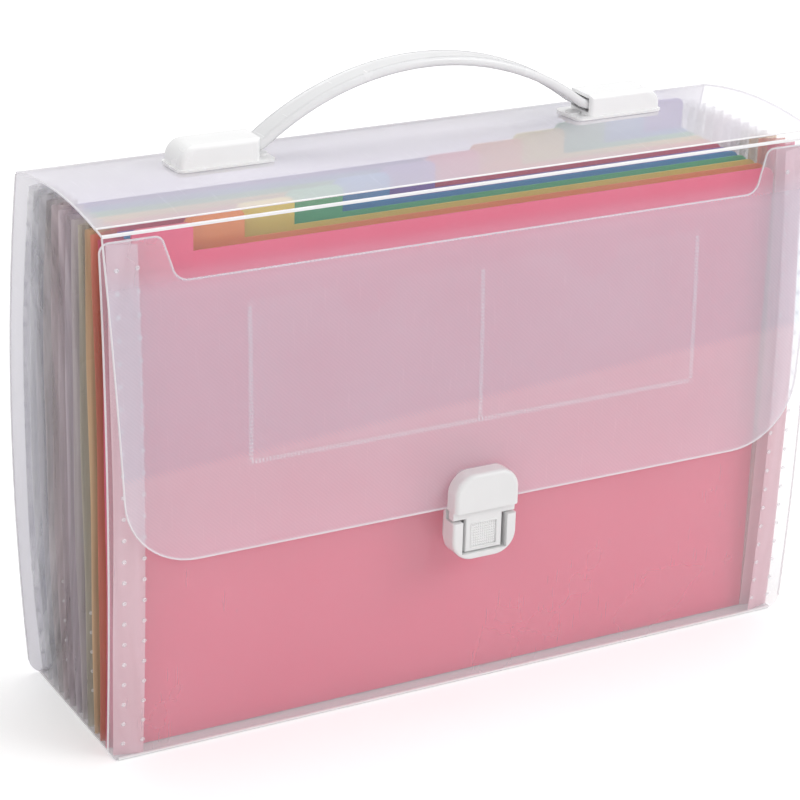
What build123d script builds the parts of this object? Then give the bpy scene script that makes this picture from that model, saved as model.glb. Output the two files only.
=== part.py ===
from build123d import *

import os
from math import acos, degrees, hypot, sin, sqrt

# Expanding file: creased plastic cover, pleated sides, coloured leaves, press latch and handle.
# Millimetres. X runs across the file, Y from its front to its back, and Z up from what it stands on.
# The origin is the centre of the foot of the whole object's box.

# Cover, one sheet folded at its creases
panel_width = 338.0
cover_height = 230.0
file_depth = 88.0
flap_length = 141.0
cover_sheet = 0.8
crease_gap = 0.2
back_bow = 14.0
front_bow = 5.0
lid_crown = 5.0
foot_corner_radius = 6.0
base_side_inset = 4.0

# Front flap
flap_gap = 1.6
flap_head_inset = 0.5
flap_foot_inset = 8.0
flap_corner_radius = 32.0

# Pressed line across the lid, behind its front crease
lid_line_setback = 6.0
lid_line_radius = 0.4

# Cut-out along the front panel's top edge
front_top_clearance = 4.0
cutout_width = 286.0
cutout_depth = 19.0
cutout_slope = 6.0
cutout_fillet = 7.0
front_tab_fillet = 4.0

# Pleated sides and leaves
pocket_count = 13
film = 0.3
film_gap = 0.1
gusset_side_inset = 4.0
pleat_width = 11.7
gusset_top_clearance = 2.0
gusset_levels = 5
leaf_sheet = 0.35
leaf_side_clearance = 0.3
leaf_foot_clearance = 0.4
leaf_corner_radius = 5.0

# Index tabs clipped on the leaves
tab_width = 26.0
tab_rise = 12.0
tab_grip = 6.0
tab_thickness = 1.3
tab_lid_clearance = 2.0
tab_corner_radius = 3.0

# Card pockets on the front panel, under the flap
card_pocket_width = 108.0
card_pocket_height = 70.0
card_pocket_drop = 35.0
card_film = 0.4
thumb_notch_radius = 13.0

# Latch, in heights from the flap's lower edge and depths outward from the front panel
latch_width = 31.0
latch_overhang = 0.5
latch_seam = 0.5
cap_height = 17.0
cap_depth = 10.0
cap_top_radius = 9.5
cap_edge_fillet = 2.0
housing_height = 22.5
housing_depth = 8.5
housing_foot_radius = 10.0
housing_plate = 1.4
housing_ledge = 3.0
rail_width = 4.6
rail_top_gap = 0.9
latch_edge_fillet = 1.2
tongue_width = 17.6
tongue_back = 5.0
tongue_front = 7.4
tongue_top_gap = 0.4
tongue_foot_gap = 0.5
tongue_plate_gap = 0.2
tongue_edge_fillet = 0.6
tongue_foot_height = 2.0
head_height = 3.6
head_back = 3.4
head_side_gap = 0.4
pad_width = 12.2
pad_height = 11.0
pad_drop = 2.2
pad_recess = 0.5
neck_width = 12.0
neck_front = 7.2
catch_reach = 8.5
catch_height = 2.0
catch_gap = 0.9
bar_height = 3.0
bar_back = 7.7
cap_wall = 0.8
cap_pocket_height = 8.0
cap_pocket_width = 15.0
cap_rivet_bite = 5.6
latch_backplate = 0.8
latch_backplate_inset = 0.5
housing_plate_rise = 7.0
latch_backplate_radius = 3.0
latch_rivet_radius = 1.2
latch_rivet_bite = 3.0
housing_rivet_rise = 13.3
cap_rivet_rise = 12.6
cap_rivet_spacing = 15.0
cap_plate_rise = 8.8
cap_plate_width = 22.0

# Handle: an arched strap whose thick ends slide in two brackets
handle_setback = 35.0
strap_width = 13.5
strap_thickness = 4.0
strap_edge_radius = 1.4
strap_rise = 40.0
strap_radius = 125.0
strap_bend_radius = 12.0
strap_tail = 4.0
end_length = 9.6
end_gap = 0.4
end_clearance = 0.3
end_edge_fillet = 0.6
handle_travel = 6.0
travel_clearance = 1.0
bracket_cover = 3.0
bracket_solid_end = 12.0
bracket_width = 17.5
bracket_height = 10.6
bracket_roof = 1.5
bracket_lip = 1.5
bracket_floor_lip = 1.5
bracket_side_wall = 1.6
bracket_edge_fillet = 2.0
bracket_end_radius = 7.5
bracket_plate = 1.2
bracket_toe = 7.0
bracket_plate_margin = 1.0
bracket_plate_radius = 3.0
bracket_backplate = 1.0
bracket_rivet_radius = 1.6
bracket_rivet_bite = 4.0
bracket_rivet_inset = 5.0
rivet_head_radius = 3.2
rivet_head = 0.9
rivet_fit = 0.05

# Places that follow from the sizes above
half_width = panel_width / 2
reach = 2 * max(panel_width, cover_height, file_depth)
band_spare = 5.0


def bow_at(height, bow):
    """Y shift of a bowed panel at a height, on the arc from its foot to its head."""
    half = cover_height / 2
    radius = (half**2 + bow**2) / (2 * abs(bow))
    stand = sqrt(radius**2 - (height - half) ** 2) - radius + abs(bow)
    return stand if bow > 0 else -stand


flap_foot = cover_height - flap_length
cap_foot = flap_foot - latch_overhang
housing_top = cap_foot - latch_seam
housing_foot = housing_top - housing_height
latch_bow = bow_at(housing_top, front_bow)

# The object's box runs from the latch cap's face to the back panel's bow, and Y = 0 is its middle.
front_y = -(file_depth + back_bow - latch_bow - cap_depth) / 2
back_y = front_y + file_depth
latch_y = front_y - latch_bow
lid_front_y = front_y - flap_gap - cover_sheet
lid_depth = back_y - lid_front_y
hinge_top = cover_height - cover_sheet - crease_gap
front_top = cover_height - front_top_clearance
cutout_floor = front_top - cutout_depth

inner_front_y = front_y + cover_sheet
inner_back_y = back_y - cover_sheet
pocket_pitch = (inner_back_y - inner_front_y) / pocket_count
leaf_count = pocket_count - 1

gusset_outer = half_width - gusset_side_inset
gusset_inner = gusset_outer - pleat_width
gusset_foot = cover_sheet + film_gap
gusset_top = front_top - gusset_top_clearance


def slant_width(fold_depth):
    """Width along X of the film in a pleat whose half is fold_depth deep along Y."""
    return film * hypot(pleat_width, fold_depth) / fold_depth


leaf_half_width = gusset_inner - slant_width(pocket_pitch / 2) / 2 - leaf_side_clearance
leaf_foot = cover_sheet + leaf_foot_clearance
tab_top = cover_height - cover_sheet - tab_lid_clearance
leaf_top = tab_top - tab_rise
tab_step = (2 * leaf_half_width - tab_width) / (leaf_count - 1)

cap_top = cap_foot + cap_height
bar_top = cap_foot + bar_height
catch_foot = bar_top + catch_gap
tongue_top = cap_foot - tongue_top_gap
rail_top = tongue_top - head_height - rail_top_gap
housing_rivet_x = (latch_width - rail_width) / 2
housing_rivet_z = housing_foot + housing_rivet_rise
cap_rivet_x = cap_rivet_spacing / 2
cap_rivet_z = cap_foot + cap_rivet_rise
housing_rivet_places = [(-housing_rivet_x, housing_rivet_z), (housing_rivet_x, housing_rivet_z)]
cap_rivet_places = [(-cap_rivet_x, cap_rivet_z), (cap_rivet_x, cap_rivet_z)]

handle_y = back_y - handle_setback


def crown_at(y):
    """How far the lid stands above its creases at a depth Y, on the arc from front to back."""
    half = lid_depth / 2
    radius = (half**2 + lid_crown**2) / (2 * lid_crown)
    return sqrt(radius**2 - (y - lid_front_y - half) ** 2) - (radius - lid_crown)


lid_z = cover_height + crown_at(handle_y)
plate_top = lid_z + bracket_plate
bracket_top = lid_z + bracket_height
roof_z = bracket_top - bracket_roof
mouth_floor = plate_top + bracket_floor_lip
tail_z = (mouth_floor + roof_z) / 2
strap_top = cover_height + strap_rise - strap_thickness / 2
bend_reach = strap_radius + strap_bend_radius
strap_angle = acos((tail_z + bend_reach - strap_top) / bend_reach)
bend_x = bend_reach * sin(strap_angle)
strap_end = bend_x + strap_tail
end_start = strap_end + end_gap
bracket_inner_end = bend_x - bracket_cover
cavity_end = end_start + end_length + handle_travel + travel_clearance
bracket_outer_end = cavity_end + bracket_solid_end
toe_end = bracket_inner_end - bracket_toe
plate_end = bracket_outer_end + bracket_plate_margin
end_rivet_x = bracket_outer_end - bracket_rivet_inset
toe_rivet_x = bracket_inner_end - bracket_toe / 2
bracket_rivet_places = [(side * x, handle_y) for side in (-1, 1) for x in (toe_rivet_x, end_rivet_x)]


def leaf_y(number):
    """Depth of a leaf's middle plane, counted from the front."""
    return inner_front_y + number * pocket_pitch


def out(depth):
    """Y of a plane that far in front of the front panel's face at the latch."""
    return latch_y - depth


def upright_band(face_y, other_y, bow):
    """Profile on the YZ plane between two upright arcs of the same bow, past the panel's foot and head."""
    heights = (-band_spare, cover_height / 2, cover_height + band_spare)
    with BuildSketch(Plane.YZ) as band:
        with BuildLine():
            face = ThreePointArc(*[(face_y + bow_at(z, bow), z) for z in heights])
            other = ThreePointArc(*[(other_y + bow_at(z, bow), z) for z in heights])
            Line(face @ 0, other @ 0)
            Line(face @ 1, other @ 1)
        make_face()
    return band.sketch


def lid_band(rise, other_rise):
    """Profile on the YZ plane between two arcs of the lid's crown, at rises from its outer face."""
    middle = (lid_front_y + back_y) / 2
    low = cover_height + rise
    high = cover_height + other_rise
    with BuildSketch(Plane.YZ) as band:
        with BuildLine():
            face = ThreePointArc((lid_front_y, low), (middle, low + lid_crown), (back_y, low))
            other = ThreePointArc((lid_front_y, high), (middle, high + lid_crown), (back_y, high))
            Line(face @ 0, other @ 0)
            Line(face @ 1, other @ 1)
        make_face()
    return band.sketch


def pleat_outline(height, side):
    """Corners of a side film's section at a height; side is -1 on the left and 1 on the right."""
    start = inner_front_y - bow_at(height, front_bow) + film_gap
    end = inner_back_y + bow_at(height, back_bow) - film_gap
    halves = 2 * pocket_count
    fold_depth = (end - start) / halves
    tip = slant_width(fold_depth) / 2
    edge = gusset_inner + tip + pleat_width * film / fold_depth
    folds = [
        (gusset_outer if number % 2 else gusset_inner, start + number * fold_depth)
        for number in range(1, halves)
    ]
    corners = [
        (gusset_inner - tip, start),
        (gusset_outer, start),
        (gusset_outer, start + film),
        (edge, start + film),
        *[(x + tip, y) for x, y in folds],
        (edge, end - film),
        (gusset_outer, end - film),
        (gusset_outer, end),
        (gusset_inner - tip, end),
        *[(x - tip, y) for x, y in reversed(folds)],
    ]
    return [(side * x, y) for x, y in corners]


def finish(builder, name):
    """Label a finished piece and write it."""
    builder.part.label = name
    export_step(builder.part, f"parts/{name}.step")


os.makedirs("parts", exist_ok=True)

# Back wall, bowed outward, with rounded lower corners
with BuildPart() as back_panel:
    extrude(upright_band(back_y, inner_back_y, back_bow), reach, both=True)
    with BuildSketch(Plane.XZ) as back_outline:
        with Locations((0, hinge_top / 2)):
            Rectangle(panel_width, hinge_top)
        fillet(back_outline.vertices().group_by(Axis.Y)[0], foot_corner_radius)
    extrude(amount=reach, both=True, mode=Mode.INTERSECT)
finish(back_panel, "back_panel")

# Flat base, between the front and back walls
base_front_y = inner_front_y + crease_gap
with BuildPart() as base_panel:
    with BuildSketch():
        with Locations((0, (base_front_y + inner_back_y) / 2)):
            Rectangle(panel_width - 2 * base_side_inset, inner_back_y - base_front_y)
    extrude(amount=cover_sheet)
finish(base_panel, "base_panel")

# Front wall with the cut-out along its top edge
with BuildPart() as front_panel:
    extrude(upright_band(front_y, inner_front_y, -front_bow), reach, both=True)
    with BuildSketch(Plane.XZ) as front_outline:
        with Locations((0, front_top / 2)):
            Rectangle(panel_width, front_top)
        with BuildLine():
            Polyline(
                (-cutout_width / 2, front_top),
                (-cutout_width / 2 + cutout_slope, cutout_floor),
                (cutout_width / 2 - cutout_slope, cutout_floor),
                (cutout_width / 2, front_top),
                close=True,
            )
        make_face(mode=Mode.SUBTRACT)
        fillet(front_outline.vertices().group_by(Axis.Y)[1], cutout_fillet)
        fillet(front_outline.vertices().group_by(Axis.Y)[0], foot_corner_radius)
        fillet(front_outline.vertices().group_by(Axis.Y)[-1], front_tab_fillet)
        with Locations(*housing_rivet_places):
            Circle(latch_rivet_radius + rivet_fit, mode=Mode.SUBTRACT)
    extrude(amount=reach, both=True, mode=Mode.INTERSECT)
finish(front_panel, "front_panel")

# Lid, crowned, with a pressed line behind its front crease
line_y = lid_front_y + lid_line_setback
with BuildPart() as top_panel:
    extrude(lid_band(0, -cover_sheet), half_width, both=True)
    with BuildSketch(Plane.YZ):
        with Locations((line_y, cover_height + crown_at(line_y))):
            Circle(lid_line_radius)
    extrude(amount=half_width, both=True, mode=Mode.SUBTRACT)
    with BuildSketch():
        with Locations(*bracket_rivet_places):
            Circle(bracket_rivet_radius + rivet_fit)
    extrude(amount=reach, mode=Mode.SUBTRACT)
finish(top_panel, "top_panel")

# Front flap, with rounded lower corners and a notch behind the latch cap
with BuildPart() as flap_panel:
    extrude(upright_band(lid_front_y, lid_front_y + cover_sheet, -front_bow), reach, both=True)
    with BuildSketch(Plane.XZ) as flap_outline:
        Polygon(
            (-half_width + flap_head_inset, hinge_top),
            (-half_width + flap_foot_inset, flap_foot),
            (half_width - flap_foot_inset, flap_foot),
            (half_width - flap_head_inset, hinge_top),
            align=None,
        )
        fillet(flap_outline.vertices().group_by(Axis.Y)[0], flap_corner_radius)
        with Locations((0, flap_foot)):
            Rectangle(cap_pocket_width, 2 * (cap_pocket_height - latch_overhang), mode=Mode.SUBTRACT)
        with Locations(*cap_rivet_places):
            Circle(latch_rivet_radius + rivet_fit, mode=Mode.SUBTRACT)
    extrude(amount=reach, both=True, mode=Mode.INTERSECT)
finish(flap_panel, "flap_panel")

# Pleated side films, with a flange against the front wall and one against the back wall
for name, side in (("gusset_left", -1), ("gusset_right", 1)):
    with BuildPart() as gusset:
        for level in range(gusset_levels):
            height = gusset_foot + (gusset_top - gusset_foot) * level / (gusset_levels - 1)
            with BuildSketch(Plane.XY.offset(height)):
                with BuildLine():
                    Polyline(*pleat_outline(height, side), close=True)
                make_face()
        loft(ruled=True)
    finish(gusset, name)

# Leaves and their stepped index tabs
for number in range(1, leaf_count + 1):
    leaf_plane = Plane.XZ.offset(-leaf_y(number))
    with BuildPart() as divider:
        with BuildSketch(leaf_plane) as leaf_outline:
            with Locations((0, (leaf_foot + leaf_top) / 2)):
                Rectangle(2 * leaf_half_width, leaf_top - leaf_foot)
            fillet(leaf_outline.vertices().group_by(Axis.Y)[-1], leaf_corner_radius)
        extrude(amount=leaf_sheet / 2, both=True)
    finish(divider, f"divider_{number:02d}")

    tab_x = -leaf_half_width + tab_width / 2 + (number - 1) * tab_step
    with BuildPart() as index_tab:
        with BuildSketch(leaf_plane) as tab_outline:
            with Locations((tab_x, (leaf_top - tab_grip + tab_top) / 2)):
                Rectangle(tab_width, tab_grip + tab_rise)
            fillet(tab_outline.vertices().group_by(Axis.Y)[-1], tab_corner_radius)
        extrude(amount=tab_thickness / 2, both=True)
        with BuildSketch(leaf_plane):
            with Locations((0, (leaf_foot + leaf_top) / 2)):
                Rectangle(2 * leaf_half_width, leaf_top - leaf_foot)
        extrude(amount=leaf_sheet / 2, both=True, mode=Mode.SUBTRACT)
    finish(index_tab, f"index_tab_{number:02d}")

# Film with two card pockets side by side, each with a thumb notch in its top edge
card_top = cover_height - card_pocket_drop
with BuildPart() as card_pocket:
    extrude(upright_band(front_y, front_y - card_film, -front_bow), half_width, both=True)
    with BuildSketch(Plane.XZ):
        with Locations((0, card_top - card_pocket_height / 2)):
            Rectangle(2 * card_pocket_width, card_pocket_height)
        with Locations((-card_pocket_width / 2, card_top), (card_pocket_width / 2, card_top)):
            Circle(thumb_notch_radius, mode=Mode.SUBTRACT)
    extrude(amount=reach, both=True, mode=Mode.INTERSECT)
finish(card_pocket, "card_pocket")

# Latch housing: a plate with two rails and a foot ledge, seated on the bowed front panel
with BuildPart() as latch_housing:
    with BuildSketch(Plane.XZ.offset(-out(housing_depth))) as housing_outline:
        with Locations((0, (housing_foot + housing_top) / 2)):
            Rectangle(latch_width, housing_height)
        fillet(housing_outline.vertices().group_by(Axis.Y)[0], housing_foot_radius)
    extrude(amount=-housing_depth - front_bow)
    front_face = latch_housing.faces().sort_by(Axis.Y)[0]
    fillet(front_face.edges().filter_by(Axis.X, reverse=True), latch_edge_fillet)
    with BuildSketch(Plane.XZ.offset(-out(housing_plate))):
        with Locations((0, housing_foot + housing_ledge + housing_height / 2)):
            Rectangle(latch_width - 2 * rail_width, housing_height)
        with Locations((0, rail_top + housing_height / 2)):
            Rectangle(2 * latch_width, housing_height)
    extrude(amount=housing_depth, mode=Mode.SUBTRACT)
    housing_seat = upright_band(front_y, front_y + reach, -front_bow)
    extrude(housing_seat, half_width, both=True, mode=Mode.SUBTRACT)
    with BuildSketch(Plane.XZ.offset(-out(latch_rivet_bite))):
        with Locations(*housing_rivet_places):
            Circle(latch_rivet_radius + rivet_fit)
    extrude(amount=-reach, mode=Mode.SUBTRACT)
finish(latch_housing, "latch_housing")

# Plate inside the front panel that the housing is riveted to
housing_plate_foot = housing_foot + housing_plate_rise
with BuildPart() as latch_housing_backplate:
    plate_band = upright_band(inner_front_y, inner_front_y + latch_backplate, -front_bow)
    extrude(plate_band, half_width, both=True)
    with BuildSketch(Plane.XZ):
        with Locations((0, (housing_plate_foot + housing_top) / 2)):
            RectangleRounded(
                latch_width - 2 * latch_backplate_inset,
                housing_top - housing_plate_foot,
                latch_backplate_radius,
            )
        with Locations(*housing_rivet_places):
            Circle(latch_rivet_radius + rivet_fit, mode=Mode.SUBTRACT)
    extrude(amount=reach, both=True, mode=Mode.INTERSECT)
finish(latch_housing_backplate, "latch_housing_backplate")

# Rivets of the housing, flush with the plate inside
with BuildPart() as latch_housing_rivets:
    rivet_back = inner_front_y + latch_backplate - bow_at(housing_rivet_z, front_bow)
    with BuildSketch(Plane.XZ.offset(-rivet_back)):
        with Locations(*housing_rivet_places):
            Circle(latch_rivet_radius)
    extrude(amount=rivet_back - out(latch_rivet_bite - rivet_fit))
finish(latch_housing_rivets, "latch_housing_rivets")

# Press pad with a wide head over the rails: it bends at its foot, and its catch stands over the cap's bar
tongue_foot = housing_foot + housing_ledge + tongue_foot_gap
catch_top = catch_foot + catch_height
with BuildPart() as latch_tongue:
    with BuildSketch(Plane.YZ):
        with BuildLine():
            Polyline(
                (out(housing_plate + tongue_plate_gap), tongue_foot),
                (out(tongue_front), tongue_foot),
                (out(tongue_front), tongue_top),
                (out(tongue_back), tongue_top),
                (out(tongue_back), tongue_foot + tongue_foot_height),
                (out(housing_plate + tongue_plate_gap), tongue_foot + tongue_foot_height),
                close=True,
            )
        make_face()
    extrude(amount=tongue_width / 2, both=True)
    with BuildSketch(Plane.XZ.offset(-out(tongue_front))):
        with Locations((0, tongue_top - head_height / 2)):
            Rectangle(latch_width - 2 * head_side_gap, head_height)
    extrude(amount=head_back - tongue_front)
    fillet(latch_tongue.faces().sort_by(Axis.Y)[0].edges(), tongue_edge_fillet)
    with BuildSketch(Plane.XZ.offset(-out(tongue_front))):
        with Locations((0, (tongue_foot + tongue_top) / 2 - pad_drop)):
            Rectangle(pad_width, pad_height)
    extrude(amount=-pad_recess, mode=Mode.SUBTRACT)
    with BuildSketch(Plane.YZ):
        with BuildLine():
            Polyline(
                (out(tongue_back), tongue_top - tongue_top_gap),
                (out(neck_front), tongue_top - tongue_top_gap),
                (out(neck_front), catch_foot),
                (out(catch_reach), catch_foot),
                (out(catch_reach), catch_foot + catch_height / 2),
                (out(neck_front), catch_top),
                (out(tongue_back), catch_top),
                close=True,
            )
        make_face()
    extrude(amount=neck_width / 2, both=True)
finish(latch_tongue, "latch_tongue")

# Latch cap on the flap: the bar runs across its foot, with room for the catch behind and above it
with BuildPart() as latch_cap:
    with BuildSketch(Plane.XZ.offset(-out(cap_depth))) as cap_outline:
        with Locations((0, (cap_foot + cap_top) / 2)):
            Rectangle(latch_width, cap_height)
        fillet(cap_outline.vertices().group_by(Axis.Y)[-1], cap_top_radius)
    extrude(amount=-cap_depth - front_bow)
    rims = latch_cap.faces().sort_by(Axis.Y)[0].edges().group_by(Axis.Z)
    fillet([edge for level in rims[1:] for edge in level], cap_edge_fillet)
    with BuildSketch(Plane.XZ.offset(-out(bar_back))):
        with Locations((0, cap_foot + cap_pocket_height / 2)):
            Rectangle(cap_pocket_width, cap_pocket_height)
    extrude(amount=-reach, mode=Mode.SUBTRACT)
    with BuildSketch(Plane.XZ.offset(-out(cap_depth - cap_wall))):
        with Locations((0, (bar_top + cap_foot + cap_pocket_height) / 2)):
            Rectangle(cap_pocket_width, cap_pocket_height - bar_height)
    extrude(amount=-reach, mode=Mode.SUBTRACT)
    cap_seat = upright_band(lid_front_y, lid_front_y + reach, -front_bow)
    extrude(cap_seat, half_width, both=True, mode=Mode.SUBTRACT)
    with BuildSketch(Plane.XZ.offset(-out(cap_rivet_bite))):
        with Locations(*cap_rivet_places):
            Circle(latch_rivet_radius + rivet_fit)
    extrude(amount=-reach, mode=Mode.SUBTRACT)
finish(latch_cap, "latch_cap")

# Plate behind the flap that the cap is riveted to
cap_plate_y = lid_front_y + cover_sheet
cap_plate_foot = cap_foot + cap_plate_rise
cap_plate_top = cap_top - latch_backplate_inset
with BuildPart() as latch_cap_backplate:
    extrude(upright_band(cap_plate_y, cap_plate_y + latch_backplate, -front_bow), half_width, both=True)
    with BuildSketch(Plane.XZ):
        with Locations((0, (cap_plate_foot + cap_plate_top) / 2)):
            RectangleRounded(
                cap_plate_width,
                cap_plate_top - cap_plate_foot,
                latch_backplate_radius,
            )
        with Locations(*cap_rivet_places):
            Circle(latch_rivet_radius + rivet_fit, mode=Mode.SUBTRACT)
    extrude(amount=reach, both=True, mode=Mode.INTERSECT)
finish(latch_cap_backplate, "latch_cap_backplate")

# Rivets of the cap, flush with that plate
with BuildPart() as latch_cap_rivets:
    rivet_back = cap_plate_y + latch_backplate - bow_at(cap_rivet_z, front_bow)
    with BuildSketch(Plane.XZ.offset(-rivet_back)):
        with Locations(*cap_rivet_places):
            Circle(latch_rivet_radius)
    extrude(amount=rivet_back - out(cap_rivet_bite - rivet_fit))
finish(latch_cap_rivets, "latch_cap_rivets")

# Handle strap: one arch, bent level at both ends where it enters the brackets
with BuildPart() as handle_strap:
    with BuildLine(Plane.XZ.offset(-handle_y)):
        left_tail = Line((-strap_end, tail_z), (-bend_x, tail_z))
        left_bend = JernArc(left_tail @ 1, left_tail % 1, strap_bend_radius, degrees(strap_angle))
        arch = JernArc(left_bend @ 1, left_bend % 1, strap_radius, -2 * degrees(strap_angle))
        right_bend = JernArc(arch @ 1, arch % 1, strap_bend_radius, degrees(strap_angle))
        Line(right_bend @ 1, (strap_end, tail_z))
    with BuildSketch(Plane((-strap_end, handle_y, tail_z), x_dir=(0, 1, 0), z_dir=(1, 0, 0))):
        RectangleRounded(strap_width, strap_thickness, strap_edge_radius)
    sweep()
finish(handle_strap, "handle_strap")

# The strap's thick ends, the brackets that they slide in, and what holds the brackets on the lid
for name, side in (("left", -1), ("right", 1)):
    end_middle = side * (end_start + end_length / 2)
    end_foot = plate_top + end_clearance
    end_height = roof_z - end_clearance - end_foot
    cavity_width = bracket_width - 2 * bracket_side_wall
    with BuildPart() as handle_end:
        with BuildSketch(Plane.XY.offset(end_foot)):
            with Locations((end_middle, handle_y)):
                Rectangle(end_length, cavity_width - 2 * end_clearance)
        extrude(amount=end_height)
        fillet(handle_end.edges(), end_edge_fillet)
    finish(handle_end, f"handle_end_{name}")

    bracket_middle = side * (bracket_inner_end + bracket_outer_end) / 2
    cavity_start = bracket_inner_end + bracket_lip
    with BuildPart() as bracket:
        with BuildSketch(Plane.XZ.offset(bracket_width / 2 - handle_y)) as bracket_outline:
            with Locations((bracket_middle, (plate_top + bracket_top) / 2)):
                Rectangle(bracket_outer_end - bracket_inner_end, bracket_top - plate_top)
            top_corners = bracket_outline.vertices().group_by(Axis.Y)[-1].sort_by(Axis.X)
            fillet(top_corners[-1] if side > 0 else top_corners[0], bracket_end_radius)
        extrude(amount=-bracket_width)
        rims = bracket.faces().filter_by(Axis.Y).edges().group_by(Axis.Z)
        fillet([edge for level in rims[1:] for edge in level], bracket_edge_fillet)
        with BuildSketch(Plane.XY.offset(plate_top)):
            with Locations((side * (cavity_start + cavity_end) / 2, handle_y)):
                Rectangle(cavity_end - cavity_start, cavity_width)
        extrude(amount=roof_z - plate_top, mode=Mode.SUBTRACT)
        with BuildSketch(Plane.XY.offset(mouth_floor)):
            with Locations((side * (bracket_inner_end + cavity_end) / 2, handle_y)):
                Rectangle(cavity_end - bracket_inner_end, cavity_width)
        extrude(amount=roof_z - mouth_floor, mode=Mode.SUBTRACT)
        with BuildSketch(Plane.XY.offset(plate_top)):
            with Locations((side * end_rivet_x, handle_y)):
                Circle(bracket_rivet_radius + rivet_fit)
        extrude(amount=bracket_rivet_bite, mode=Mode.SUBTRACT)
    finish(bracket, f"bracket_{name}")

    plate_width = bracket_width + 2 * bracket_plate_margin
    plate_length = plate_end - toe_end
    plate_middle = side * (toe_end + plate_end) / 2
    rivet_places = [(side * toe_rivet_x, handle_y), (side * end_rivet_x, handle_y)]
    with BuildPart() as bracket_base:
        with BuildSketch(Plane.XY.offset(plate_top)):
            with Locations((plate_middle, handle_y)):
                RectangleRounded(plate_length, plate_width, bracket_plate_radius)
            with Locations(*rivet_places):
                Circle(bracket_rivet_radius + rivet_fit, mode=Mode.SUBTRACT)
        extrude(amount=-bracket_plate - lid_crown)
        extrude(lid_band(0, -reach), half_width, both=True, mode=Mode.SUBTRACT)
    finish(bracket_base, f"bracket_base_{name}")

    backplate_foot = lid_z - cover_sheet - bracket_backplate
    with BuildPart() as bracket_backplate_part:
        with BuildSketch(Plane.XY.offset(backplate_foot)):
            with Locations((plate_middle, handle_y)):
                RectangleRounded(plate_length, bracket_width, bracket_plate_radius)
            with Locations(*rivet_places):
                Circle(bracket_rivet_radius + rivet_fit, mode=Mode.SUBTRACT)
        extrude(amount=bracket_backplate + lid_crown)
        extrude(lid_band(-cover_sheet, reach), half_width, both=True, mode=Mode.SUBTRACT)
    finish(bracket_backplate_part, f"bracket_backplate_{name}")

    with BuildPart() as bracket_rivets:
        with BuildSketch(Plane.XY.offset(backplate_foot)):
            with Locations(*rivet_places):
                Circle(rivet_head_radius)
        extrude(amount=-rivet_head)
        with BuildSketch(Plane.XY.offset(backplate_foot)):
            with Locations(rivet_places[0]):
                Circle(bracket_rivet_radius)
        extrude(amount=plate_top - backplate_foot)
        with BuildSketch(Plane.XY.offset(backplate_foot)):
            with Locations(rivet_places[1]):
                Circle(bracket_rivet_radius)
        extrude(amount=plate_top + bracket_rivet_bite - rivet_fit - backplate_foot)
        with BuildSketch(Plane.XY.offset(plate_top)):
            with Locations(rivet_places[0]):
                Circle(rivet_head_radius)
        extrude(amount=rivet_head)
    finish(bracket_rivets, f"bracket_rivets_{name}")
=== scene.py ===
"""Expanding file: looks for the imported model. Sizes are in millimetres until a mesh is written."""

from __future__ import annotations

import logging
import math
from dataclasses import dataclass, field
from enum import Enum
from functools import cache

import bmesh
import bpy
import numpy as np
from mathutils import Matrix


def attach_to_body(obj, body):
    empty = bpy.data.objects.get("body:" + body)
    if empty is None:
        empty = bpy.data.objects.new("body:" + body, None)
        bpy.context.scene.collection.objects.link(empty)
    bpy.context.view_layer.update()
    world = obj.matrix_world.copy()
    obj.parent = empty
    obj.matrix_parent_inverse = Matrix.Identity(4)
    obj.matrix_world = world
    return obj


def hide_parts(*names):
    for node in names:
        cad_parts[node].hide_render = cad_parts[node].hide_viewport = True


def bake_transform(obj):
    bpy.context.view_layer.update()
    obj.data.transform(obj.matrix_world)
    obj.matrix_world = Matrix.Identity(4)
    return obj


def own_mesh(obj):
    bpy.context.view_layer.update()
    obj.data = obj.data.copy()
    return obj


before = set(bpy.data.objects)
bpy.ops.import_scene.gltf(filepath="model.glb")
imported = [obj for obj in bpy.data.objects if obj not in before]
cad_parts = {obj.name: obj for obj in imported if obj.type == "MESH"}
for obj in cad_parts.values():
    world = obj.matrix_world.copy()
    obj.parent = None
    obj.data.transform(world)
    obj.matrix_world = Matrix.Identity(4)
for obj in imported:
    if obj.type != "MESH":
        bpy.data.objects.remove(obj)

log = logging.getLogger("expanding_file")
MM = 0.001
MERGE_DISTANCE = 1e-7
TUBE_SIDES = 8
ARC_STEPS = 12
DIMPLE_RADIUS = 0.02
DOT_SINK = 0.15
SIDES = (("left", -1), ("right", 1))

Pair = tuple[float, float]
Triple = tuple[float, float, float]
Patch = tuple[np.ndarray, np.ndarray]
Corner = tuple[Pair, float]
Ends = tuple[object, object]
Socket = bpy.types.NodeSocket
Node = bpy.types.Node
Tree = bpy.types.NodeTree
Material = bpy.types.Material
Piece = bpy.types.Object


def bow_at(height: np.ndarray | float, bow: float, span: float) -> np.ndarray:
    """Stand-out of an arc: sqrt(r^2 - (h - span/2)^2) - (r - bow), with r from the span and the bow.

    Args:
        height: Distances along the span.
        bow: Stand-out at half the span.
        span: Length of the arc's chord.

    Returns:
        The stand-out at each distance.
    """
    half = span / 2
    radius = (half**2 + bow**2) / (2 * bow)
    inside = np.maximum(radius**2 - (np.asarray(height, float) - half) ** 2, 0)
    return np.sqrt(inside) - (radius - bow)


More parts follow.
